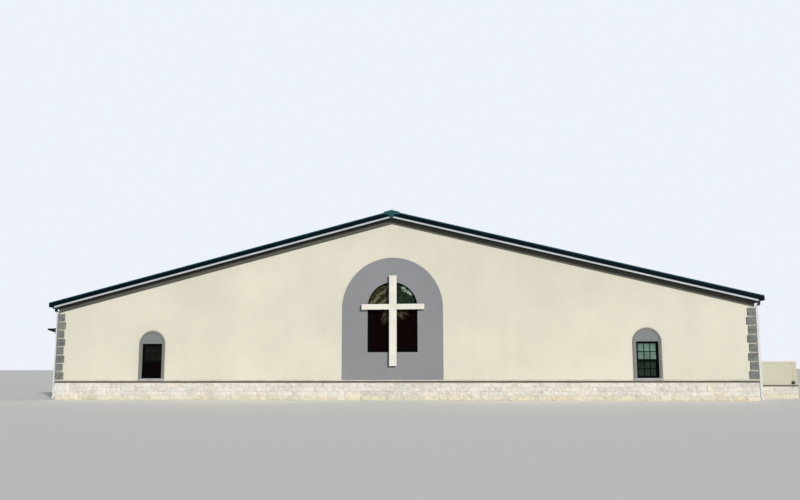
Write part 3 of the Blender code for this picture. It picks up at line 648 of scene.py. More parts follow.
class HallRoofSettings(bpy.types.PropertyGroup):
    """Sizes and finishes of the roof's metalwork."""

    # The roof and ridge cap are lighter than the trim's dark green paint that they share: painted light for
    # the light their upward faces catch
    roof_lit_colour: colour("Roof", "Painted roof panels", (0.10, 0.265, 0.265))
    trim_colour: colour("Trim", "Painted rake trim and gutters", (0.0, 0.062, 0.088))
    # The hem is lighter than the trim's paint: a painted highlight along the trim's top edge
    hem_highlight_colour: colour("Hem", "Hem along the top of the rake trim", (0.12, 0.25, 0.30))
    # The soffit colour is dark as painted shade: the underside of the overhangs in their own shadow
    soffit_shade_colour: colour("Soffit", "Panels under the overhangs", (0.11, 0.11, 0.10))
    cap_lit_colour: colour("Ridge cap", "Painted ridge cap", (0.12, 0.30, 0.335))
    fascia_colour: colour("White board", "Board under the rake trim", (0.70, 0.725, 0.75))
    frieze_colour: colour("Frieze", "Board on the wall under the soffit", (0.305, 0.305, 0.28))
    pipe_colour: colour("Downspouts", "Painted downspouts", (0.83, 0.84, 0.84))
    hem_height: length("Hem height", "Height of the hem along the rake trim", 0.05)
    rib_spacing: length("Rib spacing", "Distance between the standing ribs", 0.6096)
    rib_height: length("Rib height", "Height of a standing rib", 0.05)
    rib_base: length("Rib base", "Width of a rib at its foot", 0.095)
    rib_top: length("Rib top", "Width of a rib at its top", 0.03)


class HallFittingSettings(bpy.types.PropertyGroup):
    """Finishes of the cross and the small fittings."""

    cross_colour: colour("Cross", "Painted cross", (0.90, 0.888, 0.847))
    fitting_colour: colour("Fittings", "Dark fittings", (0.09, 0.085, 0.08))
    handle_colour: colour("Handles", "Brushed metal", (0.6, 0.6, 0.6))


class HallStageSettings(bpy.types.PropertyGroup):
    """Floor, light and camera."""

    floor_colour: colour("Stage floor", "Plain pale floor", (0.95, 0.95, 0.94))
    sky_colour: colour("Surroundings", "Even light from all round", (0.93, 0.95, 0.98))
    sky_strength: bpy.props.FloatProperty(
        name="Surroundings' strength", description="Strength of the even light", default=0.29, min=0.0
    )
    key_strength: bpy.props.FloatProperty(
        name="Key light", description="Strength of the soft key light", default=2.92, min=0.0
    )
    camera_distance: length("Camera distance", "From the camera to the front wall", 36.553)
    camera_side: length("Camera offset", "How far right of the middle the camera stands", 4.066)
    camera_height: length("Camera height", "Height of the camera", 1.4)


# Operators


class HallOperator:
    """What all the building's operators share."""

    bl_options = {"REGISTER", "UNDO"}


class CHURCH_HALL_OT_walls(HallOperator, bpy.types.Operator):
    """Render on the walls, and concrete on the floor"""

    bl_idname = "church_hall.walls"
    bl_label = "Walls"

    def execute(self, context):
        walls = context.scene.hall_walls
        render = render_finish("cream_render", walls.render_colour)
        dress(render, "front_wall", "rear_wall", "left_wall", "right_wall")
        dress(render_finish("panel_render", walls.panel_colour), "front_arch_panel")
        dress(cast_stone_finish("floor_concrete", walls.floor_colour, 0.12), "floor_slab")
        return {"FINISHED"}


# Base stones: courses, patterns, and lengths in cells of the stone module
BASE_COURSES = 4
YARD_COURSES = 3
STONE_PATTERNS = 6
SHORTEST_STONE = 3
USUAL_LONGEST = 9
LONGEST_STONE = 11
TALL_SHARE = 0.42
TURNED_SHARE = 0.5
STONE_SEED = 41


def stone_pattern(number):
    """One rough stone in a unit block: its front is at y = 0 and its arrises are set back."""
    setback, chop = 0.45, 0.4
    edge = 0.01
    stone = add_block(f"stone_pattern_{number}", (0, 0, 0), (1, 1, 1))
    pick(stone, "FACE", facing(y=-1))
    bpy.ops.mesh.subdivide(number_cuts=3, smoothness=0)
    leave()

    def at_arris(point):
        return point.y < edge and (min(point.x, point.z) < edge or max(point.x, point.z) > 1 - edge)

    shift(stone, "VERT", at_arris, y=setback)
    pick(stone, "VERT", lambda point: point.y < edge)
    bpy.ops.transform.vertex_random(offset=chop, uniform=0.0, normal=1.0, seed=number + 3)
    leave()
    return stone


class CHURCH_HALL_OT_base_stones(HallOperator, bpy.types.Operator):
    """Chopped stones laid on the base in random courses"""

    bl_idname = "church_hall.base_stones"
    bl_label = "Base stones"

    def execute(self, context):
        walls = context.scene.hall_walls
        self.draw = random.Random(STONE_SEED)
        self.patterns = [stone_pattern(number) for number in range(STONE_PATTERNS)]
        stone = stone_finish("pale_stone", walls.stone_colour)
        for side, stretches in faces_round(BASE_HIGH.x, -BASE_LOW.y).items():
            stones = []
            for matrix, run in stretches:
                stones += self.lay(walls, matrix, run, BASE_HIGH.z, BASE_COURSES)
            settle(join(stones, f"{side}_base_stones"), stone, "stone")
        low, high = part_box("yard_base")
        stones = self.lay(walls, turned(0, low.x, low.y), high.x - low.x, high.z, YARD_COURSES)
        stones += self.lay(walls, turned(90, high.x, low.y), high.y - low.y, high.z, YARD_COURSES)
        settle(join(stones, "yard_base_stones"), stone, "stone")
        remove(*self.patterns)
        mortar = mortar_finish("mortar", walls.mortar_colour)
        dress(mortar, "front_base", "rear_base", "left_base", "right_base", "yard_base")
        return {"FINISHED"}

    def lay(self, walls, matrix, run, height, courses):
        """Stones along a stretch that starts at a matrix and runs along its X."""
        columns = max(SHORTEST_STONE, round(run / walls.stone_cell))
        cell = run / columns
        rise = height / courses
        gap = walls.stone_joint / 2
        depth = 2 * walls.stone_relief
        taken = [[False] * columns for _ in range(courses)]
        stones = []
        for column in range(columns):
            for course in range(courses):
                if taken[course][column]:
                    continue
                free = 0
                while column + free < columns and not taken[course][column + free]:
                    free += 1
                wide = min(self.draw.randint(SHORTEST_STONE, USUAL_LONGEST), free)
                # A rest that is too short for a stone goes to this one
                if free - wide < SHORTEST_STONE:
                    wide = free
                wide = min(wide, LONGEST_STONE)
                # Some stones rise through the next course, where it is free above them
                above = taken[course + 1][column : column + wide] if course + 1 < courses else [True]
                tall = 2 if self.draw.random() < TALL_SHARE and not any(above) else 1
                for row in range(course, course + tall):
                    taken[row][column : column + wide] = [True] * wide
                size = (wide * cell - 2 * gap, depth, tall * rise - 2 * gap)
                low = (column * cell + gap, -depth / 2, course * rise + gap)
                stones.append(self.chop(matrix, low, size))
        return stones

    def chop(self, matrix, low, size):
        """One stone: a pattern turned at random, stretched to its size and moved to its place."""
        pattern = self.patterns[self.draw.randrange(STONE_PATTERNS)]
        half_turn = Matrix.Identity(4)
        if self.draw.random() < TURNED_SHARE:
            half_turn = Matrix.Translation((1, 0, 1)) @ Matrix.Rotation(pi, 4, "Y")
        stretched = Matrix.Translation(low) @ Matrix.Diagonal((*size, 1))
        stone = twin(pattern, "stone", matrix @ stretched @ half_turn)
        tone = stone.data.attributes.new("tone", "FLOAT", "FACE")
        tone.data.foreach_set("value", [self.draw.random()] * len(stone.data.polygons))
        return stone


# Ledge stones, and the fillet on them
LEDGE_JOINT = 0.006
LEDGE_WASH = 0.01
FILLET_HEIGHT = 0.04
FILLET_FALL = 0.016
FILLET_SETBACK = 0.004


def make_ledge_row(run, proud, usual_length):
    """A row of ledge stones: one is modelled, and the rest follow it."""
    count = round(run / usual_length)
    pitch = run / count
    gap = LEDGE_JOINT / 2
    row = add_block("ledge_row", (gap, -proud, LEDGE_LOW.z), (pitch - gap, 0, LEDGE_HIGH.z))
    shift(row, "VERT", nose(proud, LEDGE_HIGH.z - 0.01), z=-LEDGE_WASH)
    return repeat(soften(row, 0.004), count, pitch, 0, 0)


def make_fillet(run, proud):
    """Pale fillet on a row of ledge stones, sloped to throw off the rain."""
    low = (FILLET_SETBACK, FILLET_SETBACK - proud, LEDGE_HIGH.z - LEDGE_WASH)
    high = (run - FILLET_SETBACK, 0, LEDGE_HIGH.z + FILLET_HEIGHT)
    fillet = add_block("fillet", low, high)
    shift(fillet, "VERT", nose(proud, LEDGE_HIGH.z), z=-FILLET_FALL)
    return soften(fillet, 0.003)


class CHURCH_HALL_OT_ledge(HallOperator, bpy.types.Operator):
    """Dark ledge stones on the base, each with its own joint"""

    bl_idname = "church_hall.ledge"
    bl_label = "Ledge"

    def execute(self, context):
        walls = context.scene.hall_walls
        proud = LEDGE_HIGH.x - HALF_WIDTH
        rows, fillets = [], []
        for stretches in faces_round(HALF_WIDTH, HALF_LENGTH, proud).values():
            for matrix, run in stretches:
                rows.append(place(make_ledge_row(run, proud, walls.ledge_length), matrix))
                fillets.append(place(make_fillet(run, proud), matrix))
        stone = cast_stone_finish("dark_cast_stone", walls.ledge_colour)
        settle(join(rows, "ledge_stones"), stone, "ledge", "stone_ledge")
        dress(stone, "yard_ledge")
        pale = cast_stone_finish("pale_cast_stone", walls.fillet_colour)
        settle(join(fillets, "ledge_fillet"), pale, "stucco")
        return {"FINISHED"}


def make_quoin(number):
    """An L-shaped block at the front left corner, pulled both ways out of a post."""
    across, along = (QUOIN_WIDE, QUOIN_NARROW) if number % 2 == 0 else (QUOIN_NARROW, QUOIN_WIDE)
    proud = QUOIN_PROUD + COVER
    x, y = -HALF_WIDTH, -HALF_LENGTH
    bottom = LEDGE_HIGH.z + number * QUOIN_PITCH + QUOIN_JOINT
    top = bottom + QUOIN_PITCH - QUOIN_JOINT
    low, high = (x - proud, y - proud, bottom - COVER), (x, y, top + COVER)
    return soften(make_angle("quoin_block", low, high, across + COVER, along + COVER), 0.012)


def quoin_finish(tint):
    """Rough-faced blocks, each side unevenly chipped and weathered."""
    finish = Finish("quoin_block", tint, 0.92)
    chips = finish.noise(9.0, 5.0, 0.6)
    clouds = finish.noise(2.5)
    tone = finish.range(finish.sum(chips, clouds, 0.7), 0.6, 1.1)
    colours = finish.ramp(tone, (0.0, shade(tint, 0.76)), (0.45, tint), (1.0, shade(tint, 1.22)))
    finish.coat(colours)
    finish.roughen(clouds, 0.86, 0.97)
    finish.bump(finish.sum(chips, finish.noise(60.0), 0.3), 0.012, 0.7)
    return finish.material


class CHURCH_HALL_OT_quoins(HallOperator, bpy.types.Operator):
    """Corner blocks over the recessed joints"""

    bl_idname = "church_hall.quoins"
    bl_label = "Quoins"

    def execute(self, context):
        walls = context.scene.hall_walls
        corners = {
            "front_left": Matrix.Identity(4),
            "front_right": MIRROR_X,
            "rear_left": MIRROR_Y,
            "rear_right": MIRROR_X @ MIRROR_Y,
        }
        pattern = join([make_quoin(number) for number in range(QUOIN_COUNT)], "quoin_pattern")
        face = quoin_finish(walls.quoin_colour)
        for name, matrix in corners.items():
            settle(twin(pattern, f"{name}_quoin_blocks", matrix), face, "grey_stucco")
        remove(pattern)
        joints = mortar_finish("quoin_joints", walls.quoin_joint_colour)
        dress(joints, *(f"{name}_quoins" for name in corners))
        return {"FINISHED"}


# Beads that hold the panes of the arched window
BEAD_CLEARANCE = 0.004
BEAD_DEPTH = 0.03
BEAD_SETBACK = 0.025
LOWER_BEAD = 0.016
ARCH_BEAD = 0.010


def arched_glass_finish():
    """Dark glass with painted reflections: olive streaks and a pale patch of sky in the arch, and faint
    glints on the nearly black panes below the transom.
    """
    finish = Finish("centre_glass", (0.03, 0.03, 0.03), 0.08, shine=0.05)
    mottle = finish.noise(8.0, 5.0, 0.65)
    right = finish.range(finish.axis("X"), -0.05, 0.05)
    above = finish.range(finish.axis("Z"), CENTRE_SPRING - 0.02, CENTRE_SPRING + 0.02)
    arch = finish.blend(right, olive_reflection_streaks(finish, mottle), green_side(finish, mottle))
    # Painted reflections: faint glints on the dark panes below the transom
    reflection_glints = mottled_ovals(
        finish, mottle, ((0.28, 3.72), (0.5, 0.30)), ((-0.30, 3.58), (0.28, 0.42))
    )
    dark = finish.ramp(reflection_glints, (0.02, (0.045, 0.012, 0.010)), (0.55, (0.30, 0.28, 0.21)))
    finish.coat(finish.blend(above, dark, arch))
    finish.roughen(finish.noise(2.0, 2.0), 0.06, 0.12)
    return finish.material


def olive_reflection_streaks(finish, mottle):
    """Leaning olive streaks on the left of the arch: painted reflections, light and dark."""
    rising = finish.sum(finish.axis("Z"), finish.axis("X"), -0.93)
    streaks = finish.range(finish.sum(rising, finish.noise(2.6, 4.0, 0.6), 0.7), 4.72, 6.09)
    return finish.ramp(
        finish.sum(streaks, mottle, 0.4),
        (0.22, (0.12, 0.10, 0.06)),
        (0.38, (0.43, 0.40, 0.33)),
        (0.50, (0.17, 0.16, 0.09)),
        (0.62, (0.14, 0.13, 0.06)),
        (0.74, (0.42, 0.41, 0.33)),
        (0.84, (0.12, 0.12, 0.04)),
        (0.96, (0.28, 0.27, 0.19)),
        (1.00, (0.10, 0.10, 0.04)),
    )


def green_side(finish, mottle):
    """Dark green on the right of the arch, with a pale painted reflection of the sky near its top."""
    sky_reflection_patch = mottled_ovals(
        finish, mottle, ((0.74, 4.89), (0.40, 0.34)), ((0.96, 4.68), (0.28, 0.24))
    )
    green = finish.ramp(mottle, (0.40, (0.085, 0.12, 0.08)), (0.62, (0.16, 0.22, 0.165)))
    pale = finish.ramp(mottle, (0.35, (0.44, 0.50, 0.45)), (0.60, (0.62, 0.67, 0.63)))
    return finish.blend(finish.range(sky_reflection_patch, 0.08, 0.20), green, pale)


def mottled_ovals(finish, mottle, first, second):
    """Two oval patches, broken up by the mottling."""
    both = finish.sum(oval(finish, *first), oval(finish, *second), 0.9)
    return finish.math("MULTIPLY", both, finish.range(mottle, 0.38, 0.62))


def oval(finish, middle, reach):
    """An oval patch that fades from its middle to its edge."""
    across, up = 1 / reach[0], 1 / reach[1]
    spread = finish.stretched((across, 0, up), (-middle[0] * across, 0, -middle[1] * up))
    ball = {"gradient_type": "SPHERICAL"}
    return finish.node("ShaderNodeTexGradient", ball, Vector=spread).outputs["Fac"]


class CHURCH_HALL_OT_centre_window(HallOperator, bpy.types.Operator):
    """Panes, beads and frame of the arched window"""

    bl_idname = "church_hall.centre_window"
    bl_label = "Centre window"

    def execute(self, context):
        paint = context.scene.hall_windows.frame_colour
        frame_paint = painted_finish("black_frame", paint, 0.5, shine=0.04)
        dress(frame_paint, "centre_window_frame")
        dress(arched_glass_finish(), "centre_window_glass")
        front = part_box("centre_window_frame")[0].y + BEAD_SETBACK
        back = front + BEAD_DEPTH
        edge = CENTRE_FRAME + BEAD_CLEARANCE
        inner = CENTRE_HALF - edge
        bottom, top = CENTRE_SILL + edge, CENTRE_SPRING - CENTRE_BAR_HALF
        beads = []
        for low, high in ((-inner, -CENTRE_BAR_HALF), (CENTRE_BAR_HALF, inner)):
            bead = ring("lower_bead", (low, front, bottom), (high, back, top), LOWER_BEAD)
            beads.append(soften(bead, 0.005))
        foot = CENTRE_SPRING + CENTRE_BAR_HALF
        bead = arched_bar("upper_bead", inner, foot, foot + 0.01, ARCH_BEAD, BEAD_DEPTH)
        beads.append(soften(place(bead, Matrix.Translation((0, back, 0))), 0.003))
        settle(join(beads, "centre_window_beads"), frame_paint, "black_metal")
        return {"FINISHED"}


# Frames, sashes and panes of the small windows
WINDOW_FIT = 0.0005
FRAME_WIDTH = 0.045
FRAME_DEPTH = 0.155
SASH_DEPTH = 0.03
UPPER_SASH_BACK = 0.08
LOWER_SASH_BACK = 0.113
SASH_LAP = 0.002
RAIL_LAP = 0.01
RAIL_HALF = 0.05
RAIL_PROUD = 0.004
RAIL_SETBACK = 0.01
BAR_LAP = 0.01
BAR_FRONT = 0.004
BAR_BACK = 0.02
PANE_BACK = 0.099
PANE_THICKNESS = 0.006
PANE_EDGE = 0.05

# The model's solids that the pieces of the small windows stand for
REPLACED = {
    "left_window_sashes": "left_window_frame",
    "right_window_sashes": "right_window_frame",
    "rear_left_window_sashes": "rear_left_window",
    "rear_right_window_sashes": "rear_right_window",
    "left_window_panes": "left_window_glass",
    "right_window_panes": "right_window_glass",
    "left_side_window_panes": "left_side_glass",
    "right_side_window_panes": "right_side_glass",
}


def window_places():
    """Where the windows stand: the matrices that take each gable's and each side's there."""
    places = {}
    for end, angle, y in (("", 0, -HALF_LENGTH), ("rear_", 180, HALF_LENGTH)):
        for side, x in (("left", -WINDOW_OFFSET), ("right", WINDOW_OFFSET)):
            places[f"{end}{side}_window"] = [turned(angle, x, y)]
    first = SIDE_WINDOW_CORNER - HALF_LENGTH
    pitch = 2 * -first / (SIDE_WINDOWS - 1)
    for side, angle, x in (("left", -90, -HALF_WIDTH), ("right", 90, HALF_WIDTH)):
        row = [turned(angle, x, first + pitch * number) for number in range(SIDE_WINDOWS)]
        places[f"{side}_side_window"] = row
    return places


def make_sashes(windows, paint, bar_paints):
    """Frame, two sashes one behind the other, and their slim bars, seen from -Y."""
    half = WINDOW_HALF - WINDOW_FIT
    low, high = WINDOW_SILL + WINDOW_FIT, WINDOW_TOP - WINDOW_FIT
    face = WINDOW_RECESS
    sash_half = half - FRAME_WIDTH + SASH_LAP
    sash_low = low + FRAME_WIDTH - SASH_LAP
    sash_high = high - FRAME_WIDTH + SASH_LAP
    sashes = (
        (face + UPPER_SASH_BACK, RAIL_LEVEL - RAIL_LAP, sash_high),
        (face + LOWER_SASH_BACK, sash_low, RAIL_LEVEL + RAIL_LAP),
    )
    parts = [ring("frame", (-half, face, low), (half, face + FRAME_DEPTH, high), FRAME_WIDTH)]
    for front, foot, head in sashes:
        back = front + SASH_DEPTH
        parts.append(ring("sash", (-sash_half, front, foot), (sash_half, back, head), windows.sash_width))
    rail_half = sash_half - RAIL_SETBACK
    rail_low = (-rail_half, sashes[0][0] - RAIL_PROUD, RAIL_LEVEL - RAIL_HALF)
    rail_high = (rail_half, sashes[1][0] + SASH_DEPTH + RAIL_PROUD, RAIL_LEVEL + RAIL_HALF)
    parts.append(add_block("meeting_rail", rail_low, rail_high))
    for part in parts:
        soften(part, 0.004)
        part.data.materials.append(paint)
    bar = windows.bar_width / 2
    clear = sash_half - windows.sash_width
    for (front, foot, head), bar_paint in zip(sashes, bar_paints):
        bottom, top = foot + windows.sash_width, head - windows.sash_width
        level = (bottom + top) / 2
        spans = [(x - bar, bottom - BAR_LAP, x + bar, top + BAR_LAP) for x in (-clear / 3, clear / 3)]
        spans.append((-clear - BAR_LAP, level - bar, clear + BAR_LAP, level + bar))
        for left, under, right, over in spans:
            part = add_block("bar", (left, front + BAR_FRONT, under), (right, front + BAR_BACK, over))
            soften(part, 0.004, 1).data.materials.append(bar_paint)
            parts.append(part)
    return join(parts, "sash_pattern")


def make_panes(glass):
    """The two panes, each behind its sash."""
    half = WINDOW_HALF - PANE_EDGE
    front = WINDOW_RECESS + PANE_BACK
    spans = ((RAIL_LEVEL, WINDOW_TOP - PANE_EDGE), (WINDOW_SILL + PANE_EDGE, RAIL_LEVEL))
    panes = []
    for (foot, head), finish in zip(spans, glass):
        pane = add_block("pane", (-half, front, foot), (half, front + PANE_THICKNESS, head))
        soften(pane, 0.001, 1).data.materials.append(finish)
        panes.append(pane)
        front += LOWER_SASH_BACK - UPPER_SASH_BACK
    return join(panes, "pane_pattern")


def make_rim(windows):
    """Moulded rim round the outer edge of a surround."""
    half, foot = SURROUND_HALF + COVER, WINDOW_SILL - 0.02
    rim = arched_bar("rim_pattern", half, foot, SURROUND_SPRING, windows.rim_width, windows.rim_depth)
    return soften(rim, 0.022, 3)


def make_sill():
    """Sill under the feet of the rim, with a sloped top."""
    half, proud, fall = SURROUND_HALF + 0.012, 0.075, 0.012
    sill = add_block("sill_pattern", (-half, -proud, LEDGE_HIGH.z), (half, 0.0, WINDOW_SILL - 0.008))
    shift(sill, "VERT", nose(proud, WINDOW_SILL - 0.05), z=-fall)
    return soften(sill, 0.006)


def make_surround_shell():
    """The face of a surround, to cover the render of the side and rear ones."""
    shell = merged_copy("left_window_surround", "surround_pattern")
    place(shell, Matrix.Translation((WINDOW_OFFSET, HALF_LENGTH - COVER, 0)))
    place(shell, Matrix.Diagonal((1.0 + COVER / SURROUND_HALF, 1, 1, 1)))
    shift(shell, "VERT", lambda point: point.z > SURROUND_SPRING + 0.01, z=COVER)
    return shell


def pane_finish(name, tint):
    """Window glass with a soft blind behind it; the upper panes darken towards their head, a painted fade
    of the sky's reflection.
    """
    finish = Finish(name, tint, 0.1, shine=0.04)
    clouds = finish.noise(1.4, 3.0, 0.5, finish.stretched((1, 1, 1.6)))
    tone = finish.sum(clouds, finish.bands("Z", 6.5), 0.1)
    colours = finish.ramp(tone, (0.35, shade(tint, 0.72)), (0.6, tint), (0.85, shade(tint, 1.18)))
    # Painted reflection: the upper panes fade darker towards their head
    height = finish.range(finish.axis("Z"), RAIL_LEVEL, WINDOW_TOP - PANE_EDGE)
    fall = finish.ramp(height, (0.0, WHITE), (0.6, (0.90, 0.91, 0.91)), (1.0, (0.62, 0.64, 0.66)))
    finish.coat(finish.veiled(colours, fall))
    finish.roughen(clouds, 0.05, 0.11)
    return finish.material


class CHURCH_HALL_OT_small_windows(HallOperator, bpy.types.Operator):
    """Surrounds, rims, sills, sashes and panes of the small windows"""

    bl_idname = "church_hall.small_windows"
    bl_label = "Small windows"

    def execute(self, context):
        walls = context.scene.hall_walls
        windows = context.scene.hall_windows
        paint = painted_finish("sash_frame", windows.frame_colour, 0.5, shine=0.04)
        bars = (
            painted_finish("upper_bar", windows.upper_bar_reflection_colour, 0.5, shine=0.2),
            painted_finish("lower_bar", windows.lower_bar_colour, 0.5, shine=0.04),
        )
        panes = (
            pane_finish("upper_glass", windows.upper_glass_reflection_colour),
            pane_finish("lower_glass", windows.lower_glass_colour),
        )
        dark_panes = (
            pane_finish("dark_upper_glass", windows.dark_glass_colour),
            pane_finish("dark_lower_glass", (0.032, 0.012, 0.010)),
        )
        dark_bars = (
            painted_finish("dark_upper_bar", shade(windows.dark_glass_colour, 0.6), 0.5, shine=0.04),
            painted_finish("dark_lower_bar", (0.03, 0.02, 0.02), 0.5, shine=0.04),
        )
        surround = render_finish("surround_render", walls.surround_colour)
        dress(surround, "left_window_surround", "right_window_surround")
        rim_render = render_finish("rim_render", walls.rim_colour, 0.05)
        sill_stone = cast_stone_finish("sill_stone", walls.sill_colour)
        kinds = {
            "sashes": (make_sashes(windows, paint, bars), None, "black_metal"),
            "panes": (make_panes(panes), None, "dark_glass"),
            "rim": (make_rim(windows), rim_render, "grey_stucco"),
            "sill": (make_sill(), sill_stone, "grey_stucco"),
            "surround": (make_surround_shell(), surround, "grey_stucco"),
        }
        dark_finishes = {"sashes": (paint, *dark_bars), "panes": dark_panes}
        for window, matrices in window_places().items():
            for kind, (pattern, material, slot) in kinds.items():
                # The surrounds of the front windows are the model's own
                if kind == "surround" and window in ("left_window", "right_window"):
                    continue
                name = f"{window}_{kind}"
                if kind == "surround" and len(matrices) == 1:
                    name += "_face"
                made = join([twin(pattern, name, matrix) for matrix in matrices], name)
                # The front left window gets dark glass and bars, without the painted sky reflection of the
                # other windows
                if window == "left_window":
                    for number, dark in enumerate(dark_finishes.get(kind, ())):
                        made.data.materials[number] = dark
                replaced = [REPLACED[name]] if name in REPLACED else []
                settle(made, material, slot, *replaced)
        remove(*(pattern for pattern, material, slot in kinds.values()))
        return {"FINISHED"}


def cross_finish(tint):
    """Pale paint with faint marks of the brush along the post."""
    finish = Finish("cross_paint", tint, 0.45)
    film = finish.noise(2.5, 5.0)
    marks = finish.noise(1.0, 4.0, 0.6, finish.stretched((9, 9, 1.2)))
    tone = finish.range(finish.sum(film, marks, 0.5), 0.5, 1.0)
    finish.coat(finish.ramp(tone, (0.0, shade(tint, 0.93)), (1.0, tint)))
    finish.roughen(film, 0.38, 0.55)
    finish.bump(finish.sum(marks, finish.noise(80.0, 3.0), 0.2), 0.002, 0.5)
    return finish.material


class CHURCH_HALL_OT_cross(HallOperator, bpy.types.Operator):
    """Painted cross with eased arrises"""

    bl_idname = "church_hall.cross"
    bl_label = "Cross"

    def execute(self, context):
        paint = cross_finish(context.scene.hall_fittings.cross_colour)
        cross = soften(merged_copy("cross", "cross_casing"), 0.008)
        settle(cross, paint, "white_paint", "cross")
        return {"FINISHED"}


# Standing ribs of the roof
RIB_SUNK = 0.006
RIB_UNDER_CAP = 0.02
RIB_OVERHANG = 0.03


def roof_panel_finish(roof):
    """Roof panels above, their paint lighter than the trim's as painted light, and soffit panels below
    painted dark as the shade under the overhangs.
    """
    finish = Finish("roof_panels", roof.roof_lit_colour, 0.5, shine=ROOF_SHINE)
    film = finish.noise(1.3, 5.0)
    panels = finish.clouded(film, roof.roof_lit_colour, 0.88, 1.12)
    # Soffit panels: painted dark as the shade under the overhangs
    soffit = finish.clouded(film, roof.soffit_shade_colour, 0.85, 1.15)
    level = finish.sum(finish.axis("Z"), finish.math("ABSOLUTE", finish.axis("X")), PITCH)
    above = finish.range(level, SOFFIT_RIDGE + 0.08, SOFFIT_RIDGE + 0.09)
    finish.coat(finish.blend(above, soffit, panels))
    finish.roughen(film, 0.48, 0.62)
    finish.bump(finish.noise(0.35, 2.0), 0.01, 0.35)
    return finish.material


def make_ribs(roof):
    """All the ribs of the right slope: one is modelled, and the rest follow it."""
    count = 2 * int((-ROOF_LOW.y - roof.rib_base) / roof.rib_spacing) + 1
    first = -(count - 1) / 2 * roof.rib_spacing
    start = CAP_HALF_WIDTH - RIB_UNDER_CAP
    end = ROOF_HIGH.x + RIB_OVERHANG
    low = ROOF_HIGH.z - PITCH * start - RIB_SUNK
    high = low + roof.rib_height + RIB_SUNK
    half = roof.rib_base / 2
    rib = add_block("right_roof_ribs", (start, first - half, low), (end, first + half, high))
    pick(rib, "FACE", facing(z=1))
    share = roof.rib_top / roof.rib_base
    bpy.ops.transform.resize(value=(1, share, 1), center_override=((start + end) / 2, first, low))
    leave()
    shift(rib, "FACE", facing(x=1), z=-PITCH * (end - start))
    return repeat(soften(rib, 0.006, 2, 20), count, 0, roof.rib_spacing, 0)


class CHURCH_HALL_OT_roof(HallOperator, bpy.types.Operator):
    """Standing ribs on the roof slopes, and the ridge cap"""

    bl_idname = "church_hall.roof"
    bl_label = "Roof"

    def execute(self, context):
        roof = context.scene.hall_roof
        # Roof and ridge cap colours: the trim's paint made lighter as painted light
        sheet = painted_finish("roof_sheet", roof.roof_lit_colour, 0.5, 0.12, ROOF_SHINE, ripple=0.35)
        dress(roof_panel_finish(roof), "roof_left", "roof_right")
        settle_both(make_ribs(roof), "left_roof_ribs", MIRROR_X, sheet, "green_metal")
        dress(painted_finish("lit_cap_sheet", roof.cap_lit_colour, 0.45, 0.15, ROOF_SHINE), "ridge_cap")
        return {"FINISHED"}


# Folded edges of the rake trim, and the straps of the gutters
EDGE_PROUD = 0.006
EDGE_SUNK = 0.004
DRIP_HEIGHT = 0.02
GUTTER_STRAP_SETBACK = 0.012
GUTTER_STRAP_HOOK = 0.005
GUTTER_STRAP_FROM_END = 0.3
GUTTER_STRAP_PITCH = 0.9
GUTTER_STRAP_HALF = 0.015
GUTTER_STRAP_THICKNESS = 0.006
GUTTER_STRAP_FOOT = 0.03


def make_rake_edge(name, face, reach, bottom, top):
    """Folded edge along the front rake trim: half is modelled, and the other half mirrors it."""
    edge = add_block(name, (0, face - EDGE_PROUD, bottom), (reach, face + EDGE_SUNK, top))
    shift(edge, "FACE", facing(x=1), z=-PITCH * reach)
    pick(edge, "FACE", facing(x=-1))
    bpy.ops.mesh.delete(type="FACE")
    leave()
    edge = join([edge, twin(edge, "left_edge", MIRROR_X)], name)
    weld(edge)
    return soften(edge, 0.0015, 1)


def make_gutter_straps():
    """Straps across the right gutter's mouth: one is modelled, and the rest follow it."""
    reach = -GUTTER_LOW.y - GUTTER_STRAP_FROM_END
    count = int(2 * reach / GUTTER_STRAP_PITCH) + 1
    first = -(count - 1) / 2 * GUTTER_STRAP_PITCH
    back = GUTTER_LOW.x + GUTTER_STRAP_SETBACK
    low = (back, first - GUTTER_STRAP_HALF, GUTTER_HIGH.z - 2 * GUTTER_STRAP_THICKNESS)
    high = (GUTTER_HIGH.x - 0.001, first + GUTTER_STRAP_HALF, GUTTER_HIGH.z - GUTTER_STRAP_THICKNESS)
    strap = add_block("right_gutter_straps", low, high)
    pull(strap, facing(x=-1), x=-GUTTER_STRAP_HOOK)
    pull(strap, lambda face: face.normal.z < -0.9 and face.center.x < back, z=-GUTTER_STRAP_FOOT)
    return repeat(soften(strap, 0.001, 1), count, 0, GUTTER_STRAP_PITCH, 0)


class CHURCH_HALL_OT_roof_edges(HallOperator, bpy.types.Operator):
    """Rake trim, white board, frieze and gutters"""

    bl_idname = "church_hall.roof_edges"
    bl_label = "Roof edges"

    def execute(self, context):
        roof = context.scene.hall_roof
        trim = painted_finish("trim_sheet", roof.trim_colour, 0.55, 0.15, 0.04)
        dress(trim, "front_rake_trim", "rear_rake_trim", "left_gutter", "right_gutter")
        # The hem's lighter colour is a painted highlight on the trim's top edge
        hem = painted_finish("hem_highlight_sheet", roof.hem_highlight_colour, 0.55, 0.12, 0.06)
        low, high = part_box("front_rake_trim")
        foot = low.z + PITCH * high.x
        edges = (
            ("rake_hem", high.z - roof.hem_height, high.z + 0.002, hem),
            ("rake_drip", foot - DRIP_HEIGHT, foot + 0.01, trim),
        )
        for name, bottom, top, paint in edges:
            edge = make_rake_edge(f"front_{name}", low.y, high.x, bottom, top)
            settle_both(edge, f"rear_{name}", MIRROR_Y, paint, "green_metal")
        board = painted_finish("white_board", roof.fascia_colour, 0.45, 0.05)
        dress(board, "front_rake_fascia", "rear_rake_fascia")
        frieze = painted_finish("frieze_board", roof.frieze_colour, 0.65, 0.08)
        dress(frieze, "front_frieze", "rear_frieze")
        settle_both(make_gutter_straps(), "left_gutter_straps", MIRROR_X, trim, "green_metal")
        return {"FINISHED"}


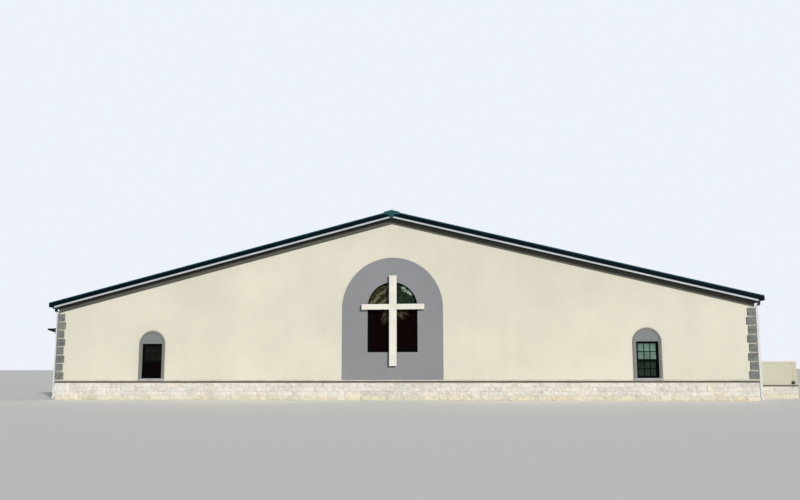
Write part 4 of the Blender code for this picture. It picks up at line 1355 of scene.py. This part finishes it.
# Bands round the downspouts
BAND_LAP = 0.004
PIPE_STRAP_LAP = 0.003
PIPE_STRAP_FOOT = 0.008
COLLAR_LEVELS = (ELBOW_FOOT - 0.035, ELBOW_FOOT - 0.01)


def make_band(node, bottom, top):
    """A block round a pipe of the right side."""
    low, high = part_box(node)
    near = (PIPE_BACK - BAND_LAP, low.y - BAND_LAP, bottom)
    return add_block("band", near, (PIPE_BACK + PIPE_DEPTH + BAND_LAP, high.y + BAND_LAP, top))


def make_pipe_strap(node, course):
    """A strap round a pipe of the right side, fixed to the block behind it."""
    middle = LEDGE_HIGH.z + (course + 1) * QUOIN_PITCH - (QUOIN_PITCH - QUOIN_JOINT) / 2
    half = STRAP_HEIGHT / 2 + PIPE_STRAP_LAP
    strap = make_band(node, middle - half, middle + half)
    block_face = HALF_WIDTH + QUOIN_PROUD + COVER
    pull(strap, facing(x=-1), x=block_face + 0.002 - PIPE_BACK, margin=PIPE_STRAP_FOOT)
    return soften(strap, 0.002, 1)


def pipe_finish(name, tint):
    """Painted sheet with pressed ribs along the pipe."""
    finish = Finish(name, tint, 0.45, shine=0.3)
    film = finish.noise(3.0, 5.0)
    finish.coat(finish.clouded(film, tint, 0.93, 1.03))
    finish.roughen(film, 0.4, 0.52)
    finish.bump(finish.bands("Y", 12.0), 0.006, 0.6)
    return finish.material


class CHURCH_HALL_OT_downspouts(HallOperator, bpy.types.Operator):
    """White downspouts on straps, with dark elbows under the gutters"""

    bl_idname = "church_hall.downspouts"
    bl_label = "Downspouts"

    def execute(self, context):
        roof = context.scene.hall_roof
        white = pipe_finish("pipe_sheet", roof.pipe_colour)
        dark = pipe_finish("elbow_sheet", roof.trim_colour)
        for end in ("front", "rear"):
            for side in ("left", "right"):
                node = f"{end}_{side}_downspout"
                pipe = merged_copy(node, f"{node}_pipe")
                elbow = merged_copy(node, f"{node}_elbow")
                cut(pipe, ELBOW_DARK_EDGE, use_fill=True, clear_outer=True)
                cut(elbow, ELBOW_DARK_EDGE, use_fill=True, clear_inner=True)
                for piece in (pipe, elbow):
                    soften(piece, 0.008, 2, 25)
                to_side = MIRROR_X if side == "left" else Matrix.Identity(4)
                pieces = [pipe]
                for course in STRAP_COURSES:
                    pieces.append(place(make_pipe_strap(node, course), to_side))
                collar = make_band(node, *COLLAR_LEVELS)
                pieces.append(soften(place(collar, to_side), 0.003))
                settle(join(pieces, f"{node}_pipe"), white, "white_metal", node)
                settle(elbow, dark, "green_metal")
        return {"FINISHED"}


# Floodlight
PLATE_HALF = 0.06
PLATE_THICKNESS = 0.02
ARM_REACH = 0.335
ARM_RADIUS = 0.016
KNUCKLE_HALF = 0.035
KNUCKLE_RADIUS = 0.03
HEAD_LENGTH = 0.375
HEAD_HEIGHT = 0.19
HEAD_TAPER = 0.12
LENS_RIM = 0.02
LENS_SUNK = 0.012
FINS = 9
FIN_SPAN = (0.26, 0.377)
FIN_MARGIN = 0.035
FIN_PITCH = 0.026
FIN_HALF = 0.004
FIN_HEIGHT = 0.012


def make_head(low, high, head_low):
    """The head, tapered towards its hood, with its lens sunk below."""
    head = add_block("head", (low.x, low.y, head_low), (low.x + HEAD_LENGTH, high.y, high.z))

    def under_hood(point):
        return point.x < low.x + 0.1 and point.z < head_low + 0.05

    shift(head, "VERT", under_hood, z=HEAD_TAPER)
    pull(head, lambda face: face.normal.z < -0.5, z=LENS_SUNK, margin=LENS_RIM)
    return soften(head, 0.005)


def make_fins(low, high):
    """Cooling fins on the head: one is modelled, and the rest follow it."""
    first = low.y + FIN_MARGIN
    fin_low = (low.x + FIN_SPAN[0], first - FIN_HALF, high.z - FIN_HEIGHT)
    fin_high = (low.x + FIN_SPAN[1], first + FIN_HALF, high.z + FIN_HEIGHT)
    fin = add_block("fins", fin_low, fin_high)
    return repeat(soften(fin, 0.002, 1), FINS, 0, FIN_PITCH, 0)


class CHURCH_HALL_OT_floodlight(HallOperator, bpy.types.Operator):
    """Floodlight on the left wall, with its hood and cooling fins"""

    bl_idname = "church_hall.floodlight"
    bl_label = "Floodlight"

    def execute(self, context):
        low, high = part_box("floodlight")
        y = (low.y + high.y) / 2
        wall = high.x
        level = low.z + PLATE_HALF
        head_low = high.z - HEAD_HEIGHT
        arm = wall - ARM_REACH
        radius = ARM_RADIUS
        plate_low = (wall - PLATE_THICKNESS, y - PLATE_HALF, low.z)
        plate_high = (wall, y + PLATE_HALF, low.z + 2 * PLATE_HALF)
        pin = head_low - KNUCKLE_RADIUS
        pin_ends = [(arm, y + reach, pin) for reach in (-KNUCKLE_HALF, KNUCKLE_HALF)]
        parts = [
            soften(add_block("plate", plate_low, plate_high), 0.006),
            add_rod("arm", (wall - 0.01, y, level), (arm, y, level), radius),
            add_rod("stem", (arm, y, level - radius), (arm, y, head_low + 0.03), radius),
            soften(add_rod("knuckle", *pin_ends, KNUCKLE_RADIUS), 0.004),
            make_head(low, high, head_low),
            make_fins(low, high),
        ]
        fitting = context.scene.hall_fittings.fitting_colour
        body = painted_finish("fitting_paint", fitting, 0.45, metallic=0.3)
        settle(join(parts, "floodlight_fitting"), body, "black_metal", "floodlight")
        return {"FINISHED"}


# Entrance doors, their furniture and their sill
LEAF_GAP = 0.003
MIDDLE_RAIL = 0.95
PANEL_STEPS = ((0.12, 0.0), (0.012, -0.012), (0.05, 0.0), (0.02, 0.008))
PULL_FROM_MIDDLE = 0.11
PULL_LEVELS = (0.95, 1.45)
PULL_STANDOFF = 0.05
PULL_RADIUS = 0.014
POST_LEVELS = (1.0, 1.4)
POST_RADIUS = 0.009
KICK_PLATE_MARGIN = 0.05
KICK_PLATE_LEVELS = (0.02, 0.115)
HINGES = 3
HINGE_PITCH = 0.8
HINGE_LEVELS = (0.4, 0.5)
HINGE_RADIUS = 0.008
DOOR_SILL_HEIGHT = 0.012
DOOR_SILL_REACH = (0.04, 0.045)


def make_leaf(low, high):
    """The right leaf, with two sunk panels on each face."""
    leaf = add_block("entrance_leaf", (LEAF_GAP, low.y, low.z), high)
    cut(leaf, low.z + MIDDLE_RAIL)
    pick(leaf, "FACE", upright_faces)
    for width, depth in PANEL_STEPS:
        bpy.ops.mesh.inset(thickness=width, depth=depth, use_individual=True)
    leave()
    return soften(leaf, 0.002, 1)


def make_furniture(low, high):
    """A pull bar on two posts, a kick plate and three hinges for the right leaf."""
    face = high.y
    x, y = PULL_FROM_MIDDLE, face + PULL_STANDOFF
    rods = [add_rod("pull", *((x, y, z) for z in PULL_LEVELS), PULL_RADIUS)]
    rods += [add_rod("post", (x, face - 0.002, z), (x, y, z), POST_RADIUS) for z in POST_LEVELS]
    foot, head = (low.z + level for level in KICK_PLATE_LEVELS)
    margin = KICK_PLATE_MARGIN
    plate = add_block("kick_plate", (margin, face - 0.001, foot), (high.x - margin, face + 0.003, head))
    x, y = high.x - 0.004, face + 0.006
    hinge = add_rod("hinges", *((x, y, z) for z in HINGE_LEVELS), HINGE_RADIUS, 12)
    for rod in rods:
        soften(rod, 0.002, 1)
    hinges = repeat(hinge, HINGES, 0, 0, HINGE_PITCH)
    return join([*rods, soften(plate, 0.001, 1), hinges], "right_furniture")


class CHURCH_HALL_OT_entrance(HallOperator, bpy.types.Operator):
    """Pair of closed entrance doors in the rear gable, with handles and hinges"""

    bl_idname = "church_hall.entrance"
    bl_label = "Entrance"

    def execute(self, context):
        frame_colour = context.scene.hall_windows.frame_colour
        paint = painted_finish("door_paint", shade(frame_colour, 2), 0.4, shine=0.3)
        dress(paint, "entrance_frame")
        low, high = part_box("entrance_doors")
        leaf = make_leaf(low, high)
        leaves = join([leaf, twin(leaf, "other_leaf", MIRROR_X)], "entrance_leaves")
        settle(leaves, paint, "black_metal", "entrance_doors")
        right = make_furniture(low, high)
        left = twin(right, "left_furniture", MIRROR_X)
        half = DOORWAY_HALF - 0.002
        sill_low = (-half, low.y - DOOR_SILL_REACH[0], DOOR_FLOOR)
        sill_high = (half, high.y + DOOR_SILL_REACH[1], DOOR_FLOOR + DOOR_SILL_HEIGHT)
        sill = soften(add_block("threshold", sill_low, sill_high), 0.004)
        handle_colour = context.scene.hall_fittings.handle_colour
        metal = painted_finish("brushed_metal", handle_colour, 0.3, 0.05, metallic=0.9)
        settle(join([right, left, sill], "entrance_handles"), metal, "black_metal")
        return {"FINISHED"}


# Coping, corner strip and outlet cover of the screen wall
COPING_HEIGHT = 0.072
STRIP_WIDTH = 0.17
STRIP_PROUD = 0.008
OUTLET_HALF = 0.065
OUTLET_FROM_CORNER = 0.155
OUTLET_LEVELS = (0.635, 0.77)
OUTLET_PROUD = 0.035
OUTLET_RIM = 0.012
OUTLET_RAISED = 0.008


def make_coping(low, high):
    """Folded sheet over the wall's cap, turned down at both sides, along both runs."""
    wide = YARD_THICKNESS + 2 * YARD_CAP_PROUD
    bottom, top = high.z - COPING_HEIGHT, high.z + COVER
    near = (high.x - wide - COVER, low.y - COVER, bottom)
    far = (high.x + COVER, low.y + wide + COVER, top)
    across = low.x - high.x + wide + COVER
    return soften(make_angle("yard_coping", near, far, across, high.y - low.y - wide), 0.004)


def make_corner_strip(x, y, foot, head):
    """Corner strip on the front and the outer side."""
    proud, sunk = STRIP_PROUD, 0.002
    low = (x - sunk, y - proud, foot + 0.001)
    high = (x + proud, y + sunk, head - YARD_CAP_HEIGHT - 0.001)
    reach = STRIP_WIDTH - sunk
    return soften(make_angle("yard_corner_strip", low, high, -reach, reach), 0.003)


def make_outlet_cover(x, y):
    """Cover of an outlet near the corner, its middle raised inside a rim."""
    x -= OUTLET_FROM_CORNER
    foot, head = OUTLET_LEVELS
    low = (x - OUTLET_HALF, y - OUTLET_PROUD, foot)
    cover = add_block("yard_outlet_cover", low, (x + OUTLET_HALF, y + 0.002, head))
    pull(cover, facing(y=-1), y=-OUTLET_RAISED, margin=OUTLET_RIM)
    return soften(cover, 0.003)


class CHURCH_HALL_OT_yard(HallOperator, bpy.types.Operator):
    """Render, coping and corner strip of the yard's screen wall, and the cover on its face"""

    bl_idname = "church_hall.yard"
    bl_label = "Yard wall"

    def execute(self, context):
        walls = context.scene.hall_walls
        dress(render_finish("yard_render", walls.yard_colour), "yard_wall")
        low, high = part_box("yard_wall")
        coping_sheet = painted_finish("coping_sheet", walls.coping_colour, 0.5, 0.04)
        settle(make_coping(low, high), coping_sheet, "white_metal")
        corner = (high.x - YARD_CAP_PROUD, low.y + YARD_CAP_PROUD)
        strip_render = render_finish("strip_render", walls.strip_colour)
        settle(make_corner_strip(*corner, low.z, high.z), strip_render, "stucco")
        fitting = context.scene.hall_fittings.fitting_colour
        cover_paint = painted_finish("cover_paint", fitting, 0.5, metallic=0.1)
        settle(make_outlet_cover(*corner), cover_paint, "black_metal")
        return {"FINISHED"}


# Stage: floor, the camera's lens and turn, and the key light
FLOOR_HALF = 600.0
FLOOR_LEVEL = -0.002
PHOTO_WIDTH = 800
FOCAL_PIXELS = 841.55
SENSOR = 36.0
YAW = 0.1016
TILT = 0.1389
ROLL = -0.0021
FARTHEST = 3000
SUNBEAM = (-0.576, 1.0, -0.39)
SUN_SPREAD = radians(3)
SUN_COLOUR = (1.0, 0.97, 0.92)


def make_surroundings(scene, stage):
    """Even light from all round, over a backdrop of its full brightness."""
    scene.view_settings.view_transform = "Standard"
    scene.world = bpy.data.worlds.new("soft_surroundings")
    scene.world.use_nodes = True
    nodes, links = scene.world.node_tree.nodes, scene.world.node_tree.links
    light = nodes["Background"]
    light.inputs["Strength"].default_value = stage.sky_strength
    backdrop = nodes.new("ShaderNodeBackground")
    for shader in (light, backdrop):
        shader.inputs["Color"].default_value = as_light(stage.sky_colour)
    choice = nodes.new("ShaderNodeMixShader")
    links.new(nodes.new("ShaderNodeLightPath").outputs["Is Camera Ray"], choice.inputs["Fac"])
    links.new(light.outputs[0], choice.inputs[1])
    links.new(backdrop.outputs[0], choice.inputs[2])
    links.new(choice.outputs[0], nodes["World Output"].inputs["Surface"])


def make_key_light(stage):
    """Soft light from fairly low in front of the building, on the right."""
    lamp = bpy.data.lights.new("key_light", "SUN")
    lamp.energy = stage.key_strength
    lamp.angle = SUN_SPREAD
    lamp.color = SUN_COLOUR
    key = bpy.data.objects.new("key_light", lamp)
    bpy.context.collection.objects.link(key)
    key.rotation_euler = Vector(SUNBEAM).to_track_quat("-Z", "Y").to_euler()


def make_camera(stage):
    """The photograph's camera: where it stands, and how it is turned, tilted and rolled."""
    lens = bpy.data.cameras.new("photo_camera")
    lens.sensor_width = SENSOR
    lens.lens = FOCAL_PIXELS / PHOTO_WIDTH * SENSOR
    lens.clip_end = FARTHEST
    camera = bpy.data.objects.new("photo_camera", lens)
    bpy.context.collection.objects.link(camera)
    forward = Vector((-sin(YAW) * cos(TILT), cos(YAW) * cos(TILT), sin(TILT)))
    level = Vector((cos(YAW), sin(YAW), 0))
    upward = level.cross(forward)
    right = cos(ROLL) * level + sin(ROLL) * upward
    up = -sin(ROLL) * level + cos(ROLL) * upward
    stand = (stage.camera_side, -HALF_LENGTH - stage.camera_distance, stage.camera_height)
    turn = Matrix((right, up, -forward)).transposed().to_4x4()
    camera.matrix_world = Matrix.Translation(stand) @ turn
    return camera


class CHURCH_HALL_OT_stage(HallOperator, bpy.types.Operator):
    """Pale floor, soft light and the camera"""

    bl_idname = "church_hall.stage"
    bl_label = "Stage"

    def execute(self, context):
        stage = context.scene.hall_stage
        deselect()
        bpy.ops.mesh.primitive_plane_add(size=2 * FLOOR_HALF, location=(0, 0, FLOOR_LEVEL))
        floor = bpy.context.object
        floor.name = "stage_floor"
        floor.data.materials.append(Finish("stage_floor", stage.floor_colour, 0.9).material)
        make_surroundings(context.scene, stage)
        make_key_light(stage)
        context.scene.camera = make_camera(stage)
        return {"FINISHED"}


class CHURCH_HALL_PT_panel(bpy.types.Panel):
    """Lists the building's pieces and their settings"""

    bl_idname = "CHURCH_HALL_PT_panel"
    bl_label = "Church hall"
    bl_space_type = "VIEW_3D"
    bl_region_type = "UI"
    bl_category = "Church hall"

    def draw(self, context):
        for operator in OPERATORS:
            self.layout.operator(operator.bl_idname)
        for name in GROUPS:
            group = getattr(context.scene, name)
            box = self.layout.box()
            for key in group.__annotations__:
                box.prop(group, key)


GROUPS = {
    "hall_walls": HallWallSettings,
    "hall_windows": HallWindowSettings,
    "hall_roof": HallRoofSettings,
    "hall_fittings": HallFittingSettings,
    "hall_stage": HallStageSettings,
}
OPERATORS = (
    CHURCH_HALL_OT_stage,
    CHURCH_HALL_OT_walls,
    CHURCH_HALL_OT_base_stones,
    CHURCH_HALL_OT_ledge,
    CHURCH_HALL_OT_quoins,
    CHURCH_HALL_OT_centre_window,
    CHURCH_HALL_OT_small_windows,
    CHURCH_HALL_OT_cross,
    CHURCH_HALL_OT_roof,
    CHURCH_HALL_OT_roof_edges,
    CHURCH_HALL_OT_downspouts,
    CHURCH_HALL_OT_floodlight,
    CHURCH_HALL_OT_entrance,
    CHURCH_HALL_OT_yard,
)


def register():
    """Make the settings, operators and panel known to Blender."""
    for group in GROUPS.values():
        bpy.utils.register_class(group)
    for name, group in GROUPS.items():
        setattr(bpy.types.Scene, name, bpy.props.PointerProperty(type=group))
    for operator in OPERATORS:
        bpy.utils.register_class(operator)
    bpy.utils.register_class(CHURCH_HALL_PT_panel)


def unregister():
    """Take the panel, operators and settings out of Blender."""
    bpy.utils.unregister_class(CHURCH_HALL_PT_panel)
    for operator in reversed(OPERATORS):
        bpy.utils.unregister_class(operator)
    for name, group in GROUPS.items():
        delattr(bpy.types.Scene, name)
        bpy.utils.unregister_class(group)


def main():
    """Dress the model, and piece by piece."""
    register()
    for operator in OPERATORS:
        getattr(bpy.ops.church_hall, operator.bl_idname.split(".")[1])()


if __name__ == "__main__":
    main()
